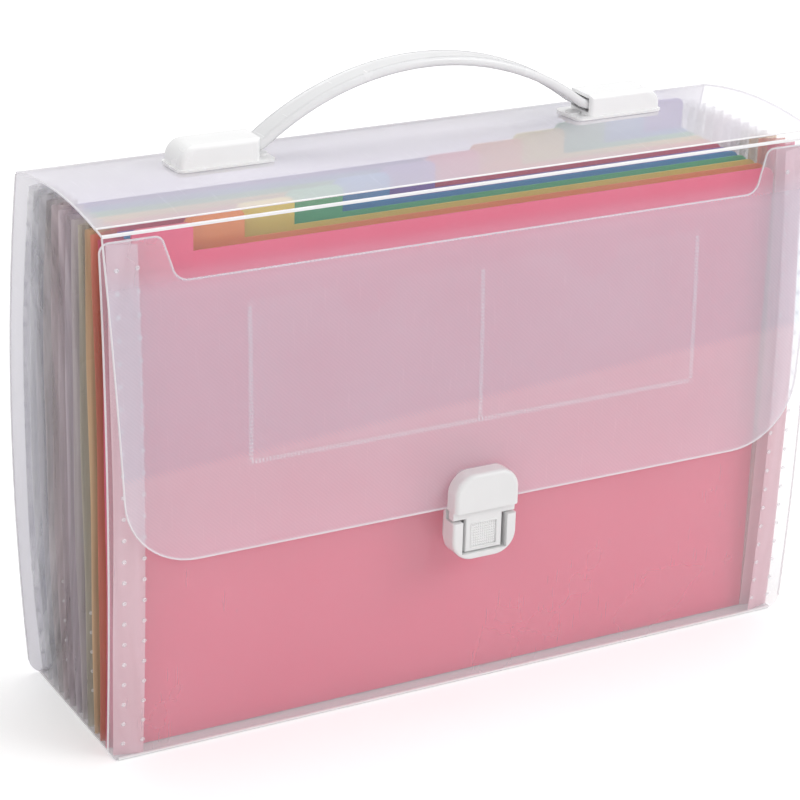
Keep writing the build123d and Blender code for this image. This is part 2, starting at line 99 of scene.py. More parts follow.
@dataclass(frozen=True)
class FileSizes:
    """The file's main sizes in millimetres, the same as in the CAD model."""

    panel_width: float = 338.0
    cover_height: float = 230.0
    file_depth: float = 88.0
    sheet: float = 0.8
    crease_gap: float = 0.2
    back_bow: float = 14.0
    front_bow: float = 5.0
    lid_crown: float = 5.0
    flap_gap: float = 1.6
    flap_foot: float = 89.0
    flap_head_inset: float = 0.5
    flap_foot_inset: float = 8.0
    flap_corner_radius: float = 32.0
    lid_line_setback: float = 6.0
    front_top: float = 226.0
    cutout_width: float = 286.0
    cutout_depth: float = 19.0
    cutout_slope: float = 6.0
    foot_corner_radius: float = 6.0
    cap_depth: float = 10.0
    housing_top: float = 88.0
    pockets: int = 13
    film: float = 0.3
    gusset_inner: float = 153.3
    gusset_outer: float = 165.0
    gusset_foot: float = 0.9
    gusset_top: float = 224.0
    handle_setback: float = 35.0

    @property
    def half_width(self) -> float:
        """Half of the cover's width."""
        return self.panel_width / 2

    @property
    def latch_bow(self) -> float:
        """Stand-out of the front panel where the latch sits."""
        return float(bow_at(self.housing_top, self.front_bow, self.cover_height))

    @property
    def front_y(self) -> float:
        """Y of the front panel's outer face at its foot, which centres the whole depth on Y = 0."""
        return -(self.file_depth + self.back_bow - self.latch_bow - self.cap_depth) / 2

    @property
    def back_y(self) -> float:
        """Y of the back panel's outer face at its foot."""
        return self.front_y + self.file_depth

    @property
    def lid_front_y(self) -> float:
        """Y of the lid's front crease, which is also the flap's outer face at its head."""
        return self.front_y - self.flap_gap - self.sheet

    @property
    def latch_y(self) -> float:
        """Y of the front panel's outer face where the latch sits."""
        return self.front_y - self.latch_bow

    @property
    def handle_y(self) -> float:
        """Y of the handle's middle line."""
        return self.back_y - self.handle_setback

    @property
    def pitch(self) -> float:
        """Distance between two leaves at their feet."""
        return (self.file_depth - 2 * self.sheet) / self.pockets

    @property
    def pleat_width(self) -> float:
        """Reach of a pleat along X, from its inner to its outer folds."""
        return self.gusset_outer - self.gusset_inner

    def crown_at(self, y: np.ndarray | float) -> np.ndarray:
        """Rise of the lid over its creases at each depth, an arc from crease to crease."""
        front = self.lid_front_y
        return bow_at(np.asarray(y, float) - front, self.lid_crown, self.back_y - front)

    def inner_faces(self, z: np.ndarray, gap: float = 0.0) -> Patch:
        """Y of the inner faces of the front and back panels at each height, drawn in by a gap."""
        start = self.front_y + self.sheet - bow_at(z, self.front_bow, self.cover_height) + gap
        return start, self.back_y - self.sheet + bow_at(z, self.back_bow, self.cover_height) - gap


SIZES = FileSizes()


@dataclass
class MeshDraft:
    """Points and faces gathered for one piece, with a material slot for each face."""

    points: list[np.ndarray] = field(default_factory=list)
    faces: list[list[int]] = field(default_factory=list)
    slots: list[int] = field(default_factory=list)
    count: int = 0

    def add(self, points: np.ndarray, faces: np.ndarray, slot: int = 0) -> MeshDraft:
        """Adds a patch. A number that a face repeats is dropped, so a fan's quads become triangles.

        Args:
            points: N x 3 places in millimetres.
            faces: M x 4 point numbers within this patch.
            slot: Material slot of the patch.

        Returns:
            The draft itself.
        """
        flat = np.asarray(points, float).reshape(-1, 3)
        self.points.append(flat)
        self.faces += [list(dict.fromkeys(face)) for face in (faces + self.count).tolist()]
        self.slots += [slot] * len(faces)
        self.count += len(flat)
        return self

    def build(self, name: str, finishes: list[Finish], sharp: float = 35.0) -> Piece:
        """Writes the mesh, merges its seams and turns its faces outward.

        Args:
            name: Name of the piece.
            finishes: One finish for each slot.
            sharp: Angle in degrees past which an edge stays sharp.

        Returns:
            The new object at the origin.
        """
        mesh = bpy.data.meshes.new(name)
        mesh.from_pydata((np.concatenate(self.points) * MM).tolist(), [], self.faces)
        mesh.polygons.foreach_set("material_index", np.array(self.slots, np.int32))
        shell = bmesh.new()
        shell.from_mesh(mesh)
        bmesh.ops.remove_doubles(shell, verts=shell.verts, dist=MERGE_DISTANCE)
        bmesh.ops.recalc_face_normals(shell, faces=shell.faces)
        closed = not any(edge.is_boundary for edge in shell.edges)
        if closed and shell.calc_volume(signed=True) < 0:
            bmesh.ops.reverse_faces(shell, faces=shell.faces)
        shell.to_mesh(mesh)
        shell.free()
        mesh.polygons.foreach_set("use_smooth", np.ones(len(mesh.polygons), bool))
        mesh.set_sharp_from_angle(angle=math.radians(sharp))
        for finish in finishes:
            mesh.materials.append(finish.material())
        piece = bpy.data.objects.new(name, mesh)
        bpy.context.scene.collection.objects.link(piece)
        log.info("%s: %d faces", name, len(mesh.polygons))
        return piece


def ring_faces(rows: int, around: int, closed: bool = False) -> np.ndarray:
    """Quads between rings of points, where point j of ring i has the number i * around + j.

    Args:
        rows: Number of rings.
        around: Points in each ring.
        closed: Joins the last ring to the first.

    Returns:
        M x 4 point numbers.
    """
    first = np.arange(rows if closed else rows - 1)[:, None]
    second = np.arange(around)[None, :]
    next_first, next_second = (first + 1) % rows, (second + 1) % around
    corners = [
        first * around + second,
        next_first * around + second,
        next_first * around + next_second,
        first * around + next_second,
    ]
    return np.stack([np.broadcast_to(c, (first.size, around)) for c in corners], -1).reshape(-1, 4)


def sweep_faces(count: int, around: int, closed: bool = False) -> np.ndarray:
    """Quads of a skin over rings, with a fan at each open end.

    The fans' middles are the two points after the last ring, and a fan's quads repeat their middle.

    Args:
        count: Number of rings.
        around: Points in each ring.
        closed: True where the last ring joins the first, without fans.

    Returns:
        M x 4 point numbers.
    """
    faces = ring_faces(count, around, closed)
    if closed:
        return faces
    ring, last = np.arange(around), (count - 1) * around
    after, middle = (ring + 1) % around, np.full(around, count * around)
    start = np.stack([middle, ring, after, middle], -1)
    end = np.stack([middle + 1, last + after, last + ring, middle + 1], -1)
    return np.concatenate([faces, start, end])


def capped_sweep(rings: np.ndarray, closed: bool = False) -> Patch:
    """Skin over rings of points carried along a path.

    Args:
        rings: Rings x points x 3.
        closed: True where the last ring joins the first.

    Returns:
        The points and the faces.
    """
    points = rings.reshape(-1, 3)
    if not closed:
        points = np.concatenate([points, rings[[0, -1]].mean(axis=1)])
    return points, sweep_faces(*rings.shape[:2], closed)


def two_skins(front: np.ndarray, back: np.ndarray) -> Patch:
    """Closed film between two grids of points, with rows of quads at both ends.

    Args:
        front: Levels x points x 3 of one skin.
        back: The same of the other skin.

    Returns:
        The points and the faces.
    """
    levels, half = front.shape[:2]
    around = 2 * half
    rings = np.concatenate([front, back[:, ::-1]], axis=1)
    j = np.arange(half - 1)
    caps = [
        np.stack([base + j, base + j + 1, base + around - 2 - j, base + around - 1 - j], -1)
        for base in (0, (levels - 1) * around)
    ]
    return rings.reshape(-1, 3), np.concatenate([ring_faces(levels, around), *caps])


def unit(vectors: np.ndarray) -> np.ndarray:
    """The vectors at length one."""
    return vectors / np.linalg.norm(vectors, axis=-1, keepdims=True)


def tube(
    path: np.ndarray, across: np.ndarray, radius: float, closed: bool = False, flatten: float = 1.0
) -> Patch:
    """Bead along a path: p + radius * (cos a * across + flatten * sin a * side), side = tangent x across.

    Args:
        path: N x 3 points.
        across: N x 3 unit vectors square to the path.
        radius: Radius of the bead.
        closed: True for a loop.
        flatten: Share of the radius along the second direction.

    Returns:
        The points and the faces.
    """
    ahead = np.roll(path, -1, 0) - np.roll(path, 1, 0)
    if not closed:
        ahead[0], ahead[-1] = path[1] - path[0], path[-1] - path[-2]
    side = unit(np.cross(unit(ahead), across))
    angle = np.linspace(0, 2 * np.pi, TUBE_SIDES, endpoint=False)[None, :, None]
    around = np.cos(angle) * across[:, None] + flatten * np.sin(angle) * side[:, None]
    return capped_sweep(path[:, None] + radius * around, closed)


def dome(radius: float, rise: float, fill: float, steps: int, drop: float = 0.0) -> np.ndarray:
    """Profile of a dimpled bump: r = radius * (1 - t), h = rise * sin(pi * min(fill * t, 1)) - drop.

    Args:
        radius: Radius of the rim.
        rise: Height of the crest.
        fill: Inverse of the share of t that the crest takes up.
        steps: Number of points.
        drop: Depth of the rim and the middle.

    Returns:
        Radii and heights, from the rim to the middle.
    """
    t = np.linspace(0, 1, steps)
    profile = np.stack([radius * (1 - t), rise * np.sin(np.pi * np.minimum(t * fill, 1)) - drop], -1)
    profile[-1, 0] = DIMPLE_RADIUS
    return profile


def lathe_dots(centres: np.ndarray, normals: np.ndarray, profile: np.ndarray, sides: int = 10) -> Patch:
    """Small closed turned bumps: centre + r(t) * (cos a * u + sin a * v) + h(t) * normal at each centre.

    Args:
        centres: N x 3 places.
        normals: N x 3 unit normals.
        profile: M x 2 radii and heights, from the rim to the middle. A foot is added below the rim.
        sides: Points around each bump.

    Returns:
        The points and the faces of all the bumps.
    """
    u = unit(np.cross([0.0, 0.0, 1.0], normals))
    v = np.cross(normals, u)
    angle = np.linspace(0, 2 * np.pi, sides, endpoint=False)[None, :, None]
    around = np.cos(angle) * u[:, None] + np.sin(angle) * v[:, None]
    profile = np.concatenate([profile[:1] - [0.0, DOT_SINK], profile])[None, :, None]
    rings = centres[:, None, None] + profile[..., 0:1] * around[:, None]
    rings = rings + profile[..., 1:2] * normals[:, None, None]
    middles = rings[:, [0, -1]].mean(axis=2)
    points = np.concatenate([rings.reshape(len(centres), -1, 3), middles], axis=1)
    one = sweep_faces(*rings.shape[1:3])
    faces = (one[None] + points.shape[1] * np.arange(len(centres))[:, None, None]).reshape(-1, 4)
    return points.reshape(-1, 3), faces


def rounded_path(corners: list[Corner], step: float = 4.0) -> np.ndarray:
    """Polyline with rounded corners: straight runs with points about a step apart, and circular arcs.

    Args:
        corners: Each corner's place and its radius. The first and last are plain ends.
        step: Distance between points on straight runs.

    Returns:
        N x 2 points.
    """
    points = [np.array(place, float) for place, _ in corners]
    parts = [points[0][None]]
    for k, (_, radius) in enumerate(corners[1:], 1):
        target, arc = points[k], []
        if k < len(corners) - 1 and radius:
            before, after = unit(points[k - 1] - target), unit(points[k + 1] - target)
            half = math.acos(float(np.clip(before @ after, -1, 1))) / 2
            centre = target + unit(before + after) * (radius / math.sin(half))
            leave = target + after * (radius / math.tan(half))
            target = target + before * (radius / math.tan(half))
            t = np.linspace(0, 1, ARC_STEPS + 1)[1:, None]
            sweep = math.pi - 2 * half
            swing = np.sin((1 - t) * sweep) * (target - centre) + np.sin(t * sweep) * (leave - centre)
            arc = [centre + swing / math.sin(sweep)]
        last_point = parts[-1][-1]
        count = max(1, int(np.linalg.norm(target - last_point) / step))
        t = np.linspace(0, 1, count + 1)[1:, None]
        parts += [last_point * (1 - t) + target * t, *arc]
    return np.concatenate(parts)


def mirrored_path(left: list[Corner]) -> np.ndarray:
    """Rounded outline from its left half, whose corners come back mirrored on the right."""
    return rounded_path(left + [((-x, z), radius) for (x, z), radius in reversed(left)])


class Graph:
    """A node tree that is being filled."""

    def __init__(self, tree: Tree) -> None:
        """Keeps the tree and clears it."""
        self.tree = tree
        tree.nodes.clear()

    def feed(self, socket: Socket, source: object) -> None:
        """Feeds an input.

        Args:
            socket: The input.
            source: A socket to link to it, or a plain value to set.
        """
        if isinstance(source, bpy.types.NodeSocket):
            self.tree.links.new(source, socket)
        else:
            socket.default_value = source

    def node(self, kind: str, sources: dict[str | int, object] | None = None, **values: object) -> Node:
        """Adds a node.

        Args:
            kind: Blender's name of the node type.
            sources: What feeds its inputs, by name or number.
            values: Settings of the node by attribute.

        Returns:
            The new node.
        """
        made = self.tree.nodes.new(kind)
        for key, value in values.items():
            setattr(made, key, value)
        for key, source in (sources or {}).items():
            self.feed(made.inputs[key], source)
        return made

    def math(self, operation: str, *sources: object) -> Socket:
        """Output of a Math node whose inputs are fed in order."""
        return self.node("ShaderNodeMath", dict(enumerate(sources)), operation=operation).outputs[0]

    def vector(self, operation: str, *sources: object) -> Node:
        """A Vector Math node whose inputs are fed in order."""
        return self.node("ShaderNodeVectorMath", dict(enumerate(sources)), operation=operation)

    def group(self, shared: Tree, **sources: object) -> Socket:
        """Output of a shared group whose inputs are fed by name."""
        return self.node("ShaderNodeGroup", sources, node_tree=shared).outputs[0]

    def noise(self, vector: Socket, scale: object, detail: float) -> Socket:
        """Value of a fractal noise."""
        sources = {"Vector": vector, "Scale": scale, "Detail": detail}
        return self.node("ShaderNodeTexNoise", sources).outputs["Fac"]

    def spread(
        self, value: Socket, ends: Ends, results: Ends = (0.0, 1.0), curve: str = "LINEAR"
    ) -> Socket:
        """Value of a Map Range node.

        Args:
            value: What is mapped.
            ends: Where it starts and ends.
            results: What the start and the end give.
            curve: Blender's name of the interpolation.

        Returns:
            The mapped value.
        """
        names = ("Value", "From Min", "From Max", "To Min", "To Max")
        sources = dict(zip(names, (value, *ends, *results)))
        return self.node("ShaderNodeMapRange", sources, interpolation_type=curve).outputs["Result"]

    def mix(self, share: Socket, first: Triple, second: Triple) -> Socket:
        """Colour between two colours."""
        sources = {"Factor": share, "A": (*first, 1.0), "B": (*second, 1.0)}
        return self.node("ShaderNodeMix", sources, data_type="RGBA").outputs["Result"]

    def bump(self, height: Socket, strength: float, distance: float) -> Socket:
        """Normal of a Bump node, with its distance in millimetres."""
        sources = {"Height": height, "Strength": strength, "Distance": distance * MM}
        return self.node("ShaderNodeBump", sources).outputs["Normal"]

    def seen(self) -> Socket:
        """One on rays that the camera sees, also in gloss and through glass, and zero on those that light.

        Returns:
            The value.
        """
        rays = self.node("ShaderNodeLightPath").outputs
        seen = self.math("MAXIMUM", rays["Is Camera Ray"], rays["Is Glossy Ray"])
        return self.math("MAXIMUM", seen, rays["Is Transmission Ray"])


def new_group(name: str, output: str, **inputs: float | Triple) -> tuple[Graph, dict[str, Socket], Socket]:
    """Starts a shader node group with one value as its output.

    Args:
        name: Name of the group.
        output: Name of its output.
        inputs: Default value by input name. A triple makes a vector input.

    Returns:
        The graph, the sockets that the inputs come from, and the socket that the output goes to.
    """
    tree = bpy.data.node_groups.new(name, "ShaderNodeTree")
    for label, value in inputs.items():
        kind = "NodeSocketVector" if isinstance(value, tuple) else "NodeSocketFloat"
        tree.interface.new_socket(name=label, in_out="INPUT", socket_type=kind).default_value = value
    tree.interface.new_socket(name=output, in_out="OUTPUT", socket_type="NodeSocketFloat")
    graph = Graph(tree)
    given = {socket.name: socket for socket in graph.node("NodeGroupInput").outputs if socket.name}
    return graph, given, graph.node("NodeGroupOutput").inputs[output]


class Patterns:
    """Shader groups that several finishes share, each made once."""

    ORIGIN = (0.0, 0.0, 0.0)
    NOISE_MIDDLE = (0.3, 0.7)
    SCUFF_TURN = (0.4, 0.5, 0.6)
    SCUFF_STRETCH = (900.0, 40.0, 60.0)
    SCUFF_CUT = (0.64, 0.74)

    @staticmethod
    @cache
    def fine_lines() -> Tree:
        """Parallel embossed lines: height = 0.5 + 0.5 sin(2 pi (v . direction) / pitch).

        Returns:
            The group.
        """
        graph, given, result = new_group(
            "FineLines", "Height", Vector=Patterns.ORIGIN, Direction=(1.0, 0.0, 0.0), Pitch=MM
        )
        along = graph.vector("DOT_PRODUCT", given["Vector"], given["Direction"]).outputs["Value"]
        turns = graph.math("DIVIDE", along, given["Pitch"])
        wave = graph.math("SINE", graph.math("MULTIPLY", turns, 2 * math.pi))
        graph.feed(result, graph.math("MULTIPLY_ADD", wave, 0.5, 0.5))
        return graph.tree

    @staticmethod
    @cache
    def clouds() -> Tree:
        """Soft uneven tone between two values, from fractal noise.

        Returns:
            The group.
        """
        graph, given, result = new_group(
            "Clouds", "Value", Vector=Patterns.ORIGIN, Scale=20.0, Low=0.0, High=1.0
        )
        noise = graph.noise(given["Vector"], given["Scale"], 4.0)
        graph.feed(result, graph.spread(noise, Patterns.NOISE_MIDDLE, (given["Low"], given["High"])))
        return graph.tree

    @staticmethod
    @cache
    def scuffs() -> Tree:
        """Sparse hair-thin handling marks: stretched noise cut off near its top.

        Returns:
            The group.
        """
        graph, given, result = new_group("Scuffs", "Mask", Vector=Patterns.ORIGIN, Amount=0.5)
        turned = {"Rotation": Patterns.SCUFF_TURN, "Scale": Patterns.SCUFF_STRETCH}
        drawn = graph.node("ShaderNodeMapping", {"Vector": given["Vector"], **turned}).outputs["Vector"]
        high = graph.spread(graph.noise(drawn, 1.0, 2.0), Patterns.SCUFF_CUT)
        graph.feed(result, graph.math("MULTIPLY", high, given["Amount"]))
        return graph.tree

    @staticmethod
    @cache
    def zone() -> Tree:
        """Smooth step of a value from one side of a line to the other, along a direction.

        Returns:
            The group.
        """
        graph, given, result = new_group(
            "Zone", "Value", Vector=Patterns.ORIGIN, Direction=(0.0, 0.0, 1.0),
            Start=0.0, End=1.0, Before=0.0, After=1.0,
        )
        along = graph.vector("DOT_PRODUCT", given["Vector"], given["Direction"]).outputs["Value"]
        ends, results = (given["Start"], given["End"]), (given["Before"], given["After"])
        graph.feed(result, graph.spread(along, ends, results, "SMOOTHSTEP"))
        return graph.tree


class Surface(Graph):
    """A material that is being filled, with its Principled BSDF and its Object coordinates."""

    def __init__(self, name: str) -> None:
        """Starts the material.

        Args:
            name: Name of the material.
        """
        material = bpy.data.materials.new(name)
        material.use_nodes = True
        super().__init__(material.node_tree)
        self.shader = self.node("ShaderNodeBsdfPrincipled")
        self.node("ShaderNodeOutputMaterial", {"Surface": self.shader.outputs["BSDF"]})
        self.place = self.node("ShaderNodeTexCoord").outputs["Object"]

    def pattern(self, shared: Tree, **sources: object) -> Socket:
        """Output of a shared group over the Object coordinates."""
        return self.group(shared, Vector=self.place, **sources)

    def paint(self, **sources: object) -> None:
        """Feeds the shader's inputs by name, with _ for a space."""
        for key, source in sources.items():
            self.feed(self.shader.inputs[key.replace("_", " ")], source)


@dataclass(frozen=True)
class Border:
    """A line across a sheet: the direction square to it, and where a change starts and ends along that."""

    direction: Triple
    start: float
    end: float

    def step(self, graph: Graph, place: Socket, before: float, after: float) -> Socket:
        """Value that steps smoothly across the border.

        Args:
            graph: The material's graph.
            place: Object coordinates.
            before: Value before the start.
            after: Value past the end.

        Returns:
            The value.
        """
        return graph.group(
            Patterns.zone(), Vector=place, Direction=self.direction, Start=self.start * MM,
            End=self.end * MM, Before=before, After=after,
        )


@dataclass(frozen=True)
class Zone(Border):
    """A part of a sheet with another veil, which it has before the border."""

    alpha_before: float


@dataclass(frozen=True)
class Sheen(Border):
    """A painted reflection: another colour past a border that the emboss makes saw-toothed, and the depth
    of the teeth.
    """

    color: Triple
    teeth: float = 2.5


@dataclass(frozen=True)
class Finish:
    """Satin plastic with an uneven tone, a faint grain and faint marks, made a material on first use."""

    name: str
    color: Triple = (0.94, 0.94, 0.94)
    alpha: float = 1.0
    roughness: float = 0.28
    roughness_spread: float = 0.08
    ior: float = 1.5
    shade: float = 0.965
    tone_scale: float = 60.0
    scuff: float = 0.04
    relief_depth: float = 0.02
    relief_strength: float = 0.25
    grain_scale: float = 2600.0

    def wear(self, surface: Surface) -> tuple[Socket, Socket]:
        """Roughens the surface by its uneven tone and its marks.

        Args:
            surface: The material.

        Returns:
            The tone, from -0.5 to 0.5, and the marks.
        """
        tone = surface.pattern(Patterns.clouds(), Scale=self.tone_scale, Low=-0.5, High=0.5)
        marks = surface.pattern(Patterns.scuffs(), Amount=self.scuff)
        rough = surface.math("MULTIPLY_ADD", tone, self.roughness_spread, self.roughness)
        surface.paint(Roughness=surface.math("ADD", rough, marks), IOR=self.ior)
        return tone, marks

    def fill(self, surface: Surface) -> None:
        """Connects the surface.

        Args:
            surface: The material.
        """
        tone, _ = self.wear(surface)
        grain = surface.pattern(Patterns.clouds(), Scale=self.grain_scale, Low=0.0, High=1.0)
        shaded = [part * self.shade for part in self.color]
        color = surface.mix(surface.math("ADD", tone, 0.5), shaded, self.color)
        normal = surface.bump(grain, self.relief_strength, self.relief_depth)
        surface.paint(Base_Color=color, Alpha=self.alpha, Normal=normal)

    def material(self) -> Material:
        """The finish as a material, the same one on every call.

        Returns:
            The material.
        """
        if self.name not in bpy.data.materials:
            self.fill(Surface(self.name))
        return bpy.data.materials[self.name]


@dataclass(frozen=True)
class FilmFinish(Finish):
    """Frosted or tinted see-through sheet with fine embossed lines, clear from its back."""

    alpha_spread: float = 0.03
    roughness: float = 0.38
    roughness_spread: float = 0.1
    ior: float = 1.46
    tone_scale: float = 14.0
    scuff: float = 0.1
    scuff_alpha: float = 0.3
    relief_strength: float = 0.35
    lines: Triple = (0.7071, 0.0, 0.7071)
    pitch: float = 1.25
    line_alpha: float = 0.02
    streaks: float = 0.0
    streak_stretch: Triple = (150.0, 450.0, 4.0)
    streak_limit: float = 0.95
    zone: Zone | None = None
    sheen: Sheen | None = None

    def colour_source(self, surface: Surface, lines: Socket) -> object:
        """The sheet's colour: plain, drawn out in upright streaks, or changing at the border of a painted
        reflection.

        Args:
            surface: The material.
            lines: Height of the embossed lines.

        Returns:
            A colour value or a colour socket.
        """
        if self.streaks:
            drawn = surface.vector("MULTIPLY", surface.place, self.streak_stretch).outputs["Vector"]
            share = surface.group(Patterns.clouds(), Vector=drawn, Scale=1.0, Low=0.0, High=1.0)
            low = [tone * (1 - self.streaks) for tone in self.color]
            high = [min(tone * (1 + self.streaks), self.streak_limit) for tone in self.color]
            return surface.mix(share, low, high)
        # Painted reflection: past the border the colour steps to the reflection's tone, with saw teeth from
        # the emboss.
        if self.sheen:
            teeth = (0.0, 0.0, self.sheen.teeth * MM)
            jagged = surface.vector("MULTIPLY_ADD", lines, teeth, surface.place).outputs["Vector"]
            return surface.mix(self.sheen.step(surface, jagged, 0.0, 1.0), self.color, self.sheen.color)
        return (*self.color, 1.0)

    def fill(self, surface: Surface) -> None:
        """Connects the surface: alpha = (veil + ridges + marks) * (1 - Backfacing).

        Args:
            surface: The material.
        """
        lines = surface.pattern(Patterns.fine_lines(), Direction=self.lines, Pitch=self.pitch * MM)
        tone, marks = self.wear(surface)
        veil = self.alpha - self.line_alpha / 2
        if self.zone:
            before = self.zone.alpha_before - self.line_alpha / 2
            veil = self.zone.step(surface, surface.place, before, veil)
        veil = surface.math("MULTIPLY_ADD", tone, self.alpha_spread, veil)
        for source, share in ((lines, self.line_alpha), (marks, self.scuff_alpha)):
            veil = surface.math("ADD", veil, surface.math("MULTIPLY", source, share))
        outside = surface.math("SUBTRACT", 1.0, surface.node("ShaderNodeNewGeometry").outputs["Backfacing"])
        surface.paint(
            Base_Color=self.colour_source(surface, lines), Alpha=surface.math("MULTIPLY", veil, outside),
            Normal=surface.bump(lines, self.relief_strength, self.relief_depth),
        )


@dataclass(frozen=True)
class FloorFinish(Finish):
    """Matt pale floor, a little brighter on the camera's own rays."""

    tones: Pair = (0.93, 0.95)
    tone_scale: float = 1.5
    roughness: float = 0.9
    specular: float = 0.1
    lift: float = 0.3

    def fill(self, surface: Surface) -> None:
        """Connects the surface.

        Args:
            surface: The material.
        """
        low, high = self.tones
        tone = surface.pattern(Patterns.clouds(), Scale=self.tone_scale, Low=low, High=high)
        lift = surface.math("MULTIPLY", surface.seen(), self.lift)
        surface.paint(Base_Color=tone, Emission_Strength=lift)
        surface.paint(Roughness=self.roughness, Specular_IOR_Level=self.specular)


class LeafColour(Enum):
    """Colours of the leaves, front to back, taken twice."""

    PINK = (0.92, 0.12, 0.23)
    ORANGE = (0.90, 0.30, 0.07)
    YELLOW = (0.88, 0.74, 0.12)
    GREEN = (0.12, 0.56, 0.26)
    BLUE = (0.10, 0.36, 0.78)
    PURPLE = (0.30, 0.18, 0.62)

    @classmethod
    def of_leaf(cls, number: int) -> LeafColour:
        """The colour of a leaf, counted from 1 at the front."""
        return list(cls)[(number - 1) % len(cls)]

    @property
    def tag(self) -> str:
        """The colour's name in small letters."""
        return self.name.lower()


LID_LINES = (0.7071, 0.7071, 0.0)

# The cover is one sheet, yet each panel gets its own film colour: the darker front, back and base films are
# painted shade, for panels that get less light than the lid and flap.
FRONT_FILM = FilmFinish(
    "frosted_front", (0.79, 0.79, 0.84), 0.28, line_alpha=0.0, relief_depth=0.0, scuff=0.02
)
FLAP_FILM = FilmFinish(
    "frosted_flap", (0.9, 0.9, 1.0), 0.34, line_alpha=0.012, relief_depth=0.005, scuff=0.04,
    zone=Zone((0.0, 0.0, 1.0), 217.0, 203.0, 0.13),
    # Painted reflection: above a slanting line the flap turns darker and bluer, standing in for a
    # reflection on the film.
    sheen=Sheen((-0.052, 0.0, 1.0), 136.0, 140.0, (0.74, 0.83, 0.96)),
)
LID_FILM = FilmFinish(
    "frosted_lid", (0.93, 0.9, 0.98), 0.54, lines=LID_LINES, line_alpha=0.025, relief_depth=0.01,
    zone=Zone((0.0, 1.0, 0.0), -40.7, -39.5, 0.12),
)
BACK_FILM = FilmFinish("frosted_back", (0.76, 0.73, 0.81), 0.62, line_alpha=0.01, relief_depth=0.004)
BASE_FILM = FilmFinish("frosted_base", (0.66, 0.61, 0.64), 0.6, lines=LID_LINES)
CARD_FILM = FilmFinish("pocket_clear", (0.9, 0.86, 0.9), 0.08, roughness=0.22, line_alpha=0.0, scuff=0.2)
CREASE_WHITE = Finish("crease_white", (0.98, 0.97, 0.98), 0.95, 0.25)
# The cut edges' rounded bead is the edge's own shape; its near-white colour is a painted highlight for the
# glow of the sheet's edges.
EDGE_WHITE = Finish("cut_edge", (0.97, 0.95, 0.97), 0.55, 0.25)
WELD_WHITE = Finish("weld_mark", (0.97, 0.95, 0.97), 0.42, 0.2)
POCKET_WELD = Finish("pocket_weld", (0.97, 0.95, 0.97), 0.62, 0.2)
# The latch and the brackets are one white plastic: the latch's greyer white is painted shade on the front,
# and the brackets' near-full white is painted light on top.
LATCH_WHITE = Finish("latch_white", (0.86, 0.86, 0.86), roughness=0.24)
BRACKET_WHITE = Finish("bracket_white", (0.99, 0.99, 0.99), roughness=0.24)
STRAP_CLEAR = Finish("strap_milky", (0.93, 0.93, 0.94), 0.93, 0.25)


def dress(node: str, finish: Finish) -> None:
    """Gives a CAD node a finish in every material slot.

    Args:
        node: Name of the node.
        finish: Its finish.
    """
    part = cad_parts[node]
    material = finish.material()
    if not part.material_slots:
        part.data.materials.append(material)
    for place in part.material_slots:
        place.material = material


def attach(piece: Piece, slot: str, body: str) -> None:
    """Lets a piece ride on a body."""
    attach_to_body(piece, body)


def stand(name: str, data: bpy.types.ID, axes: list[np.ndarray], place: Triple) -> Piece:
    """Adds a camera or a lamp.

    Args:
        name: Name of the object.
        data: The camera or lamp data.
        axes: Its right, up and back directions.
        place: Its place in metres.

    Returns:
        The new object.
    """
    pose = np.eye(4)
    pose[:3, :3], pose[:3, 3] = np.transpose(axes), place
    thing = bpy.data.objects.new(name, data)
    thing.matrix_world = Matrix(pose.tolist())
    bpy.context.scene.collection.objects.link(thing)
    return thing


@dataclass(frozen=True)
class Lamp:
    """A square soft light: its name, its place and side in metres, and its power in watts."""

    name: str
    place: Triple
    size: float
    power: float

    def build(self, target: Triple) -> None:
        """Adds the light.

        Args:
            target: What it is aimed at, in metres.
        """
        data = bpy.data.lights.new(self.name, "AREA")
        data.size = self.size
        data.energy = self.power
        back = unit(np.array(self.place) - np.array(target))
        side = unit(np.cross([0.0, 0.0, 1.0], back))
        stand(self.name, data, [side, np.cross(back, side), back], self.place)


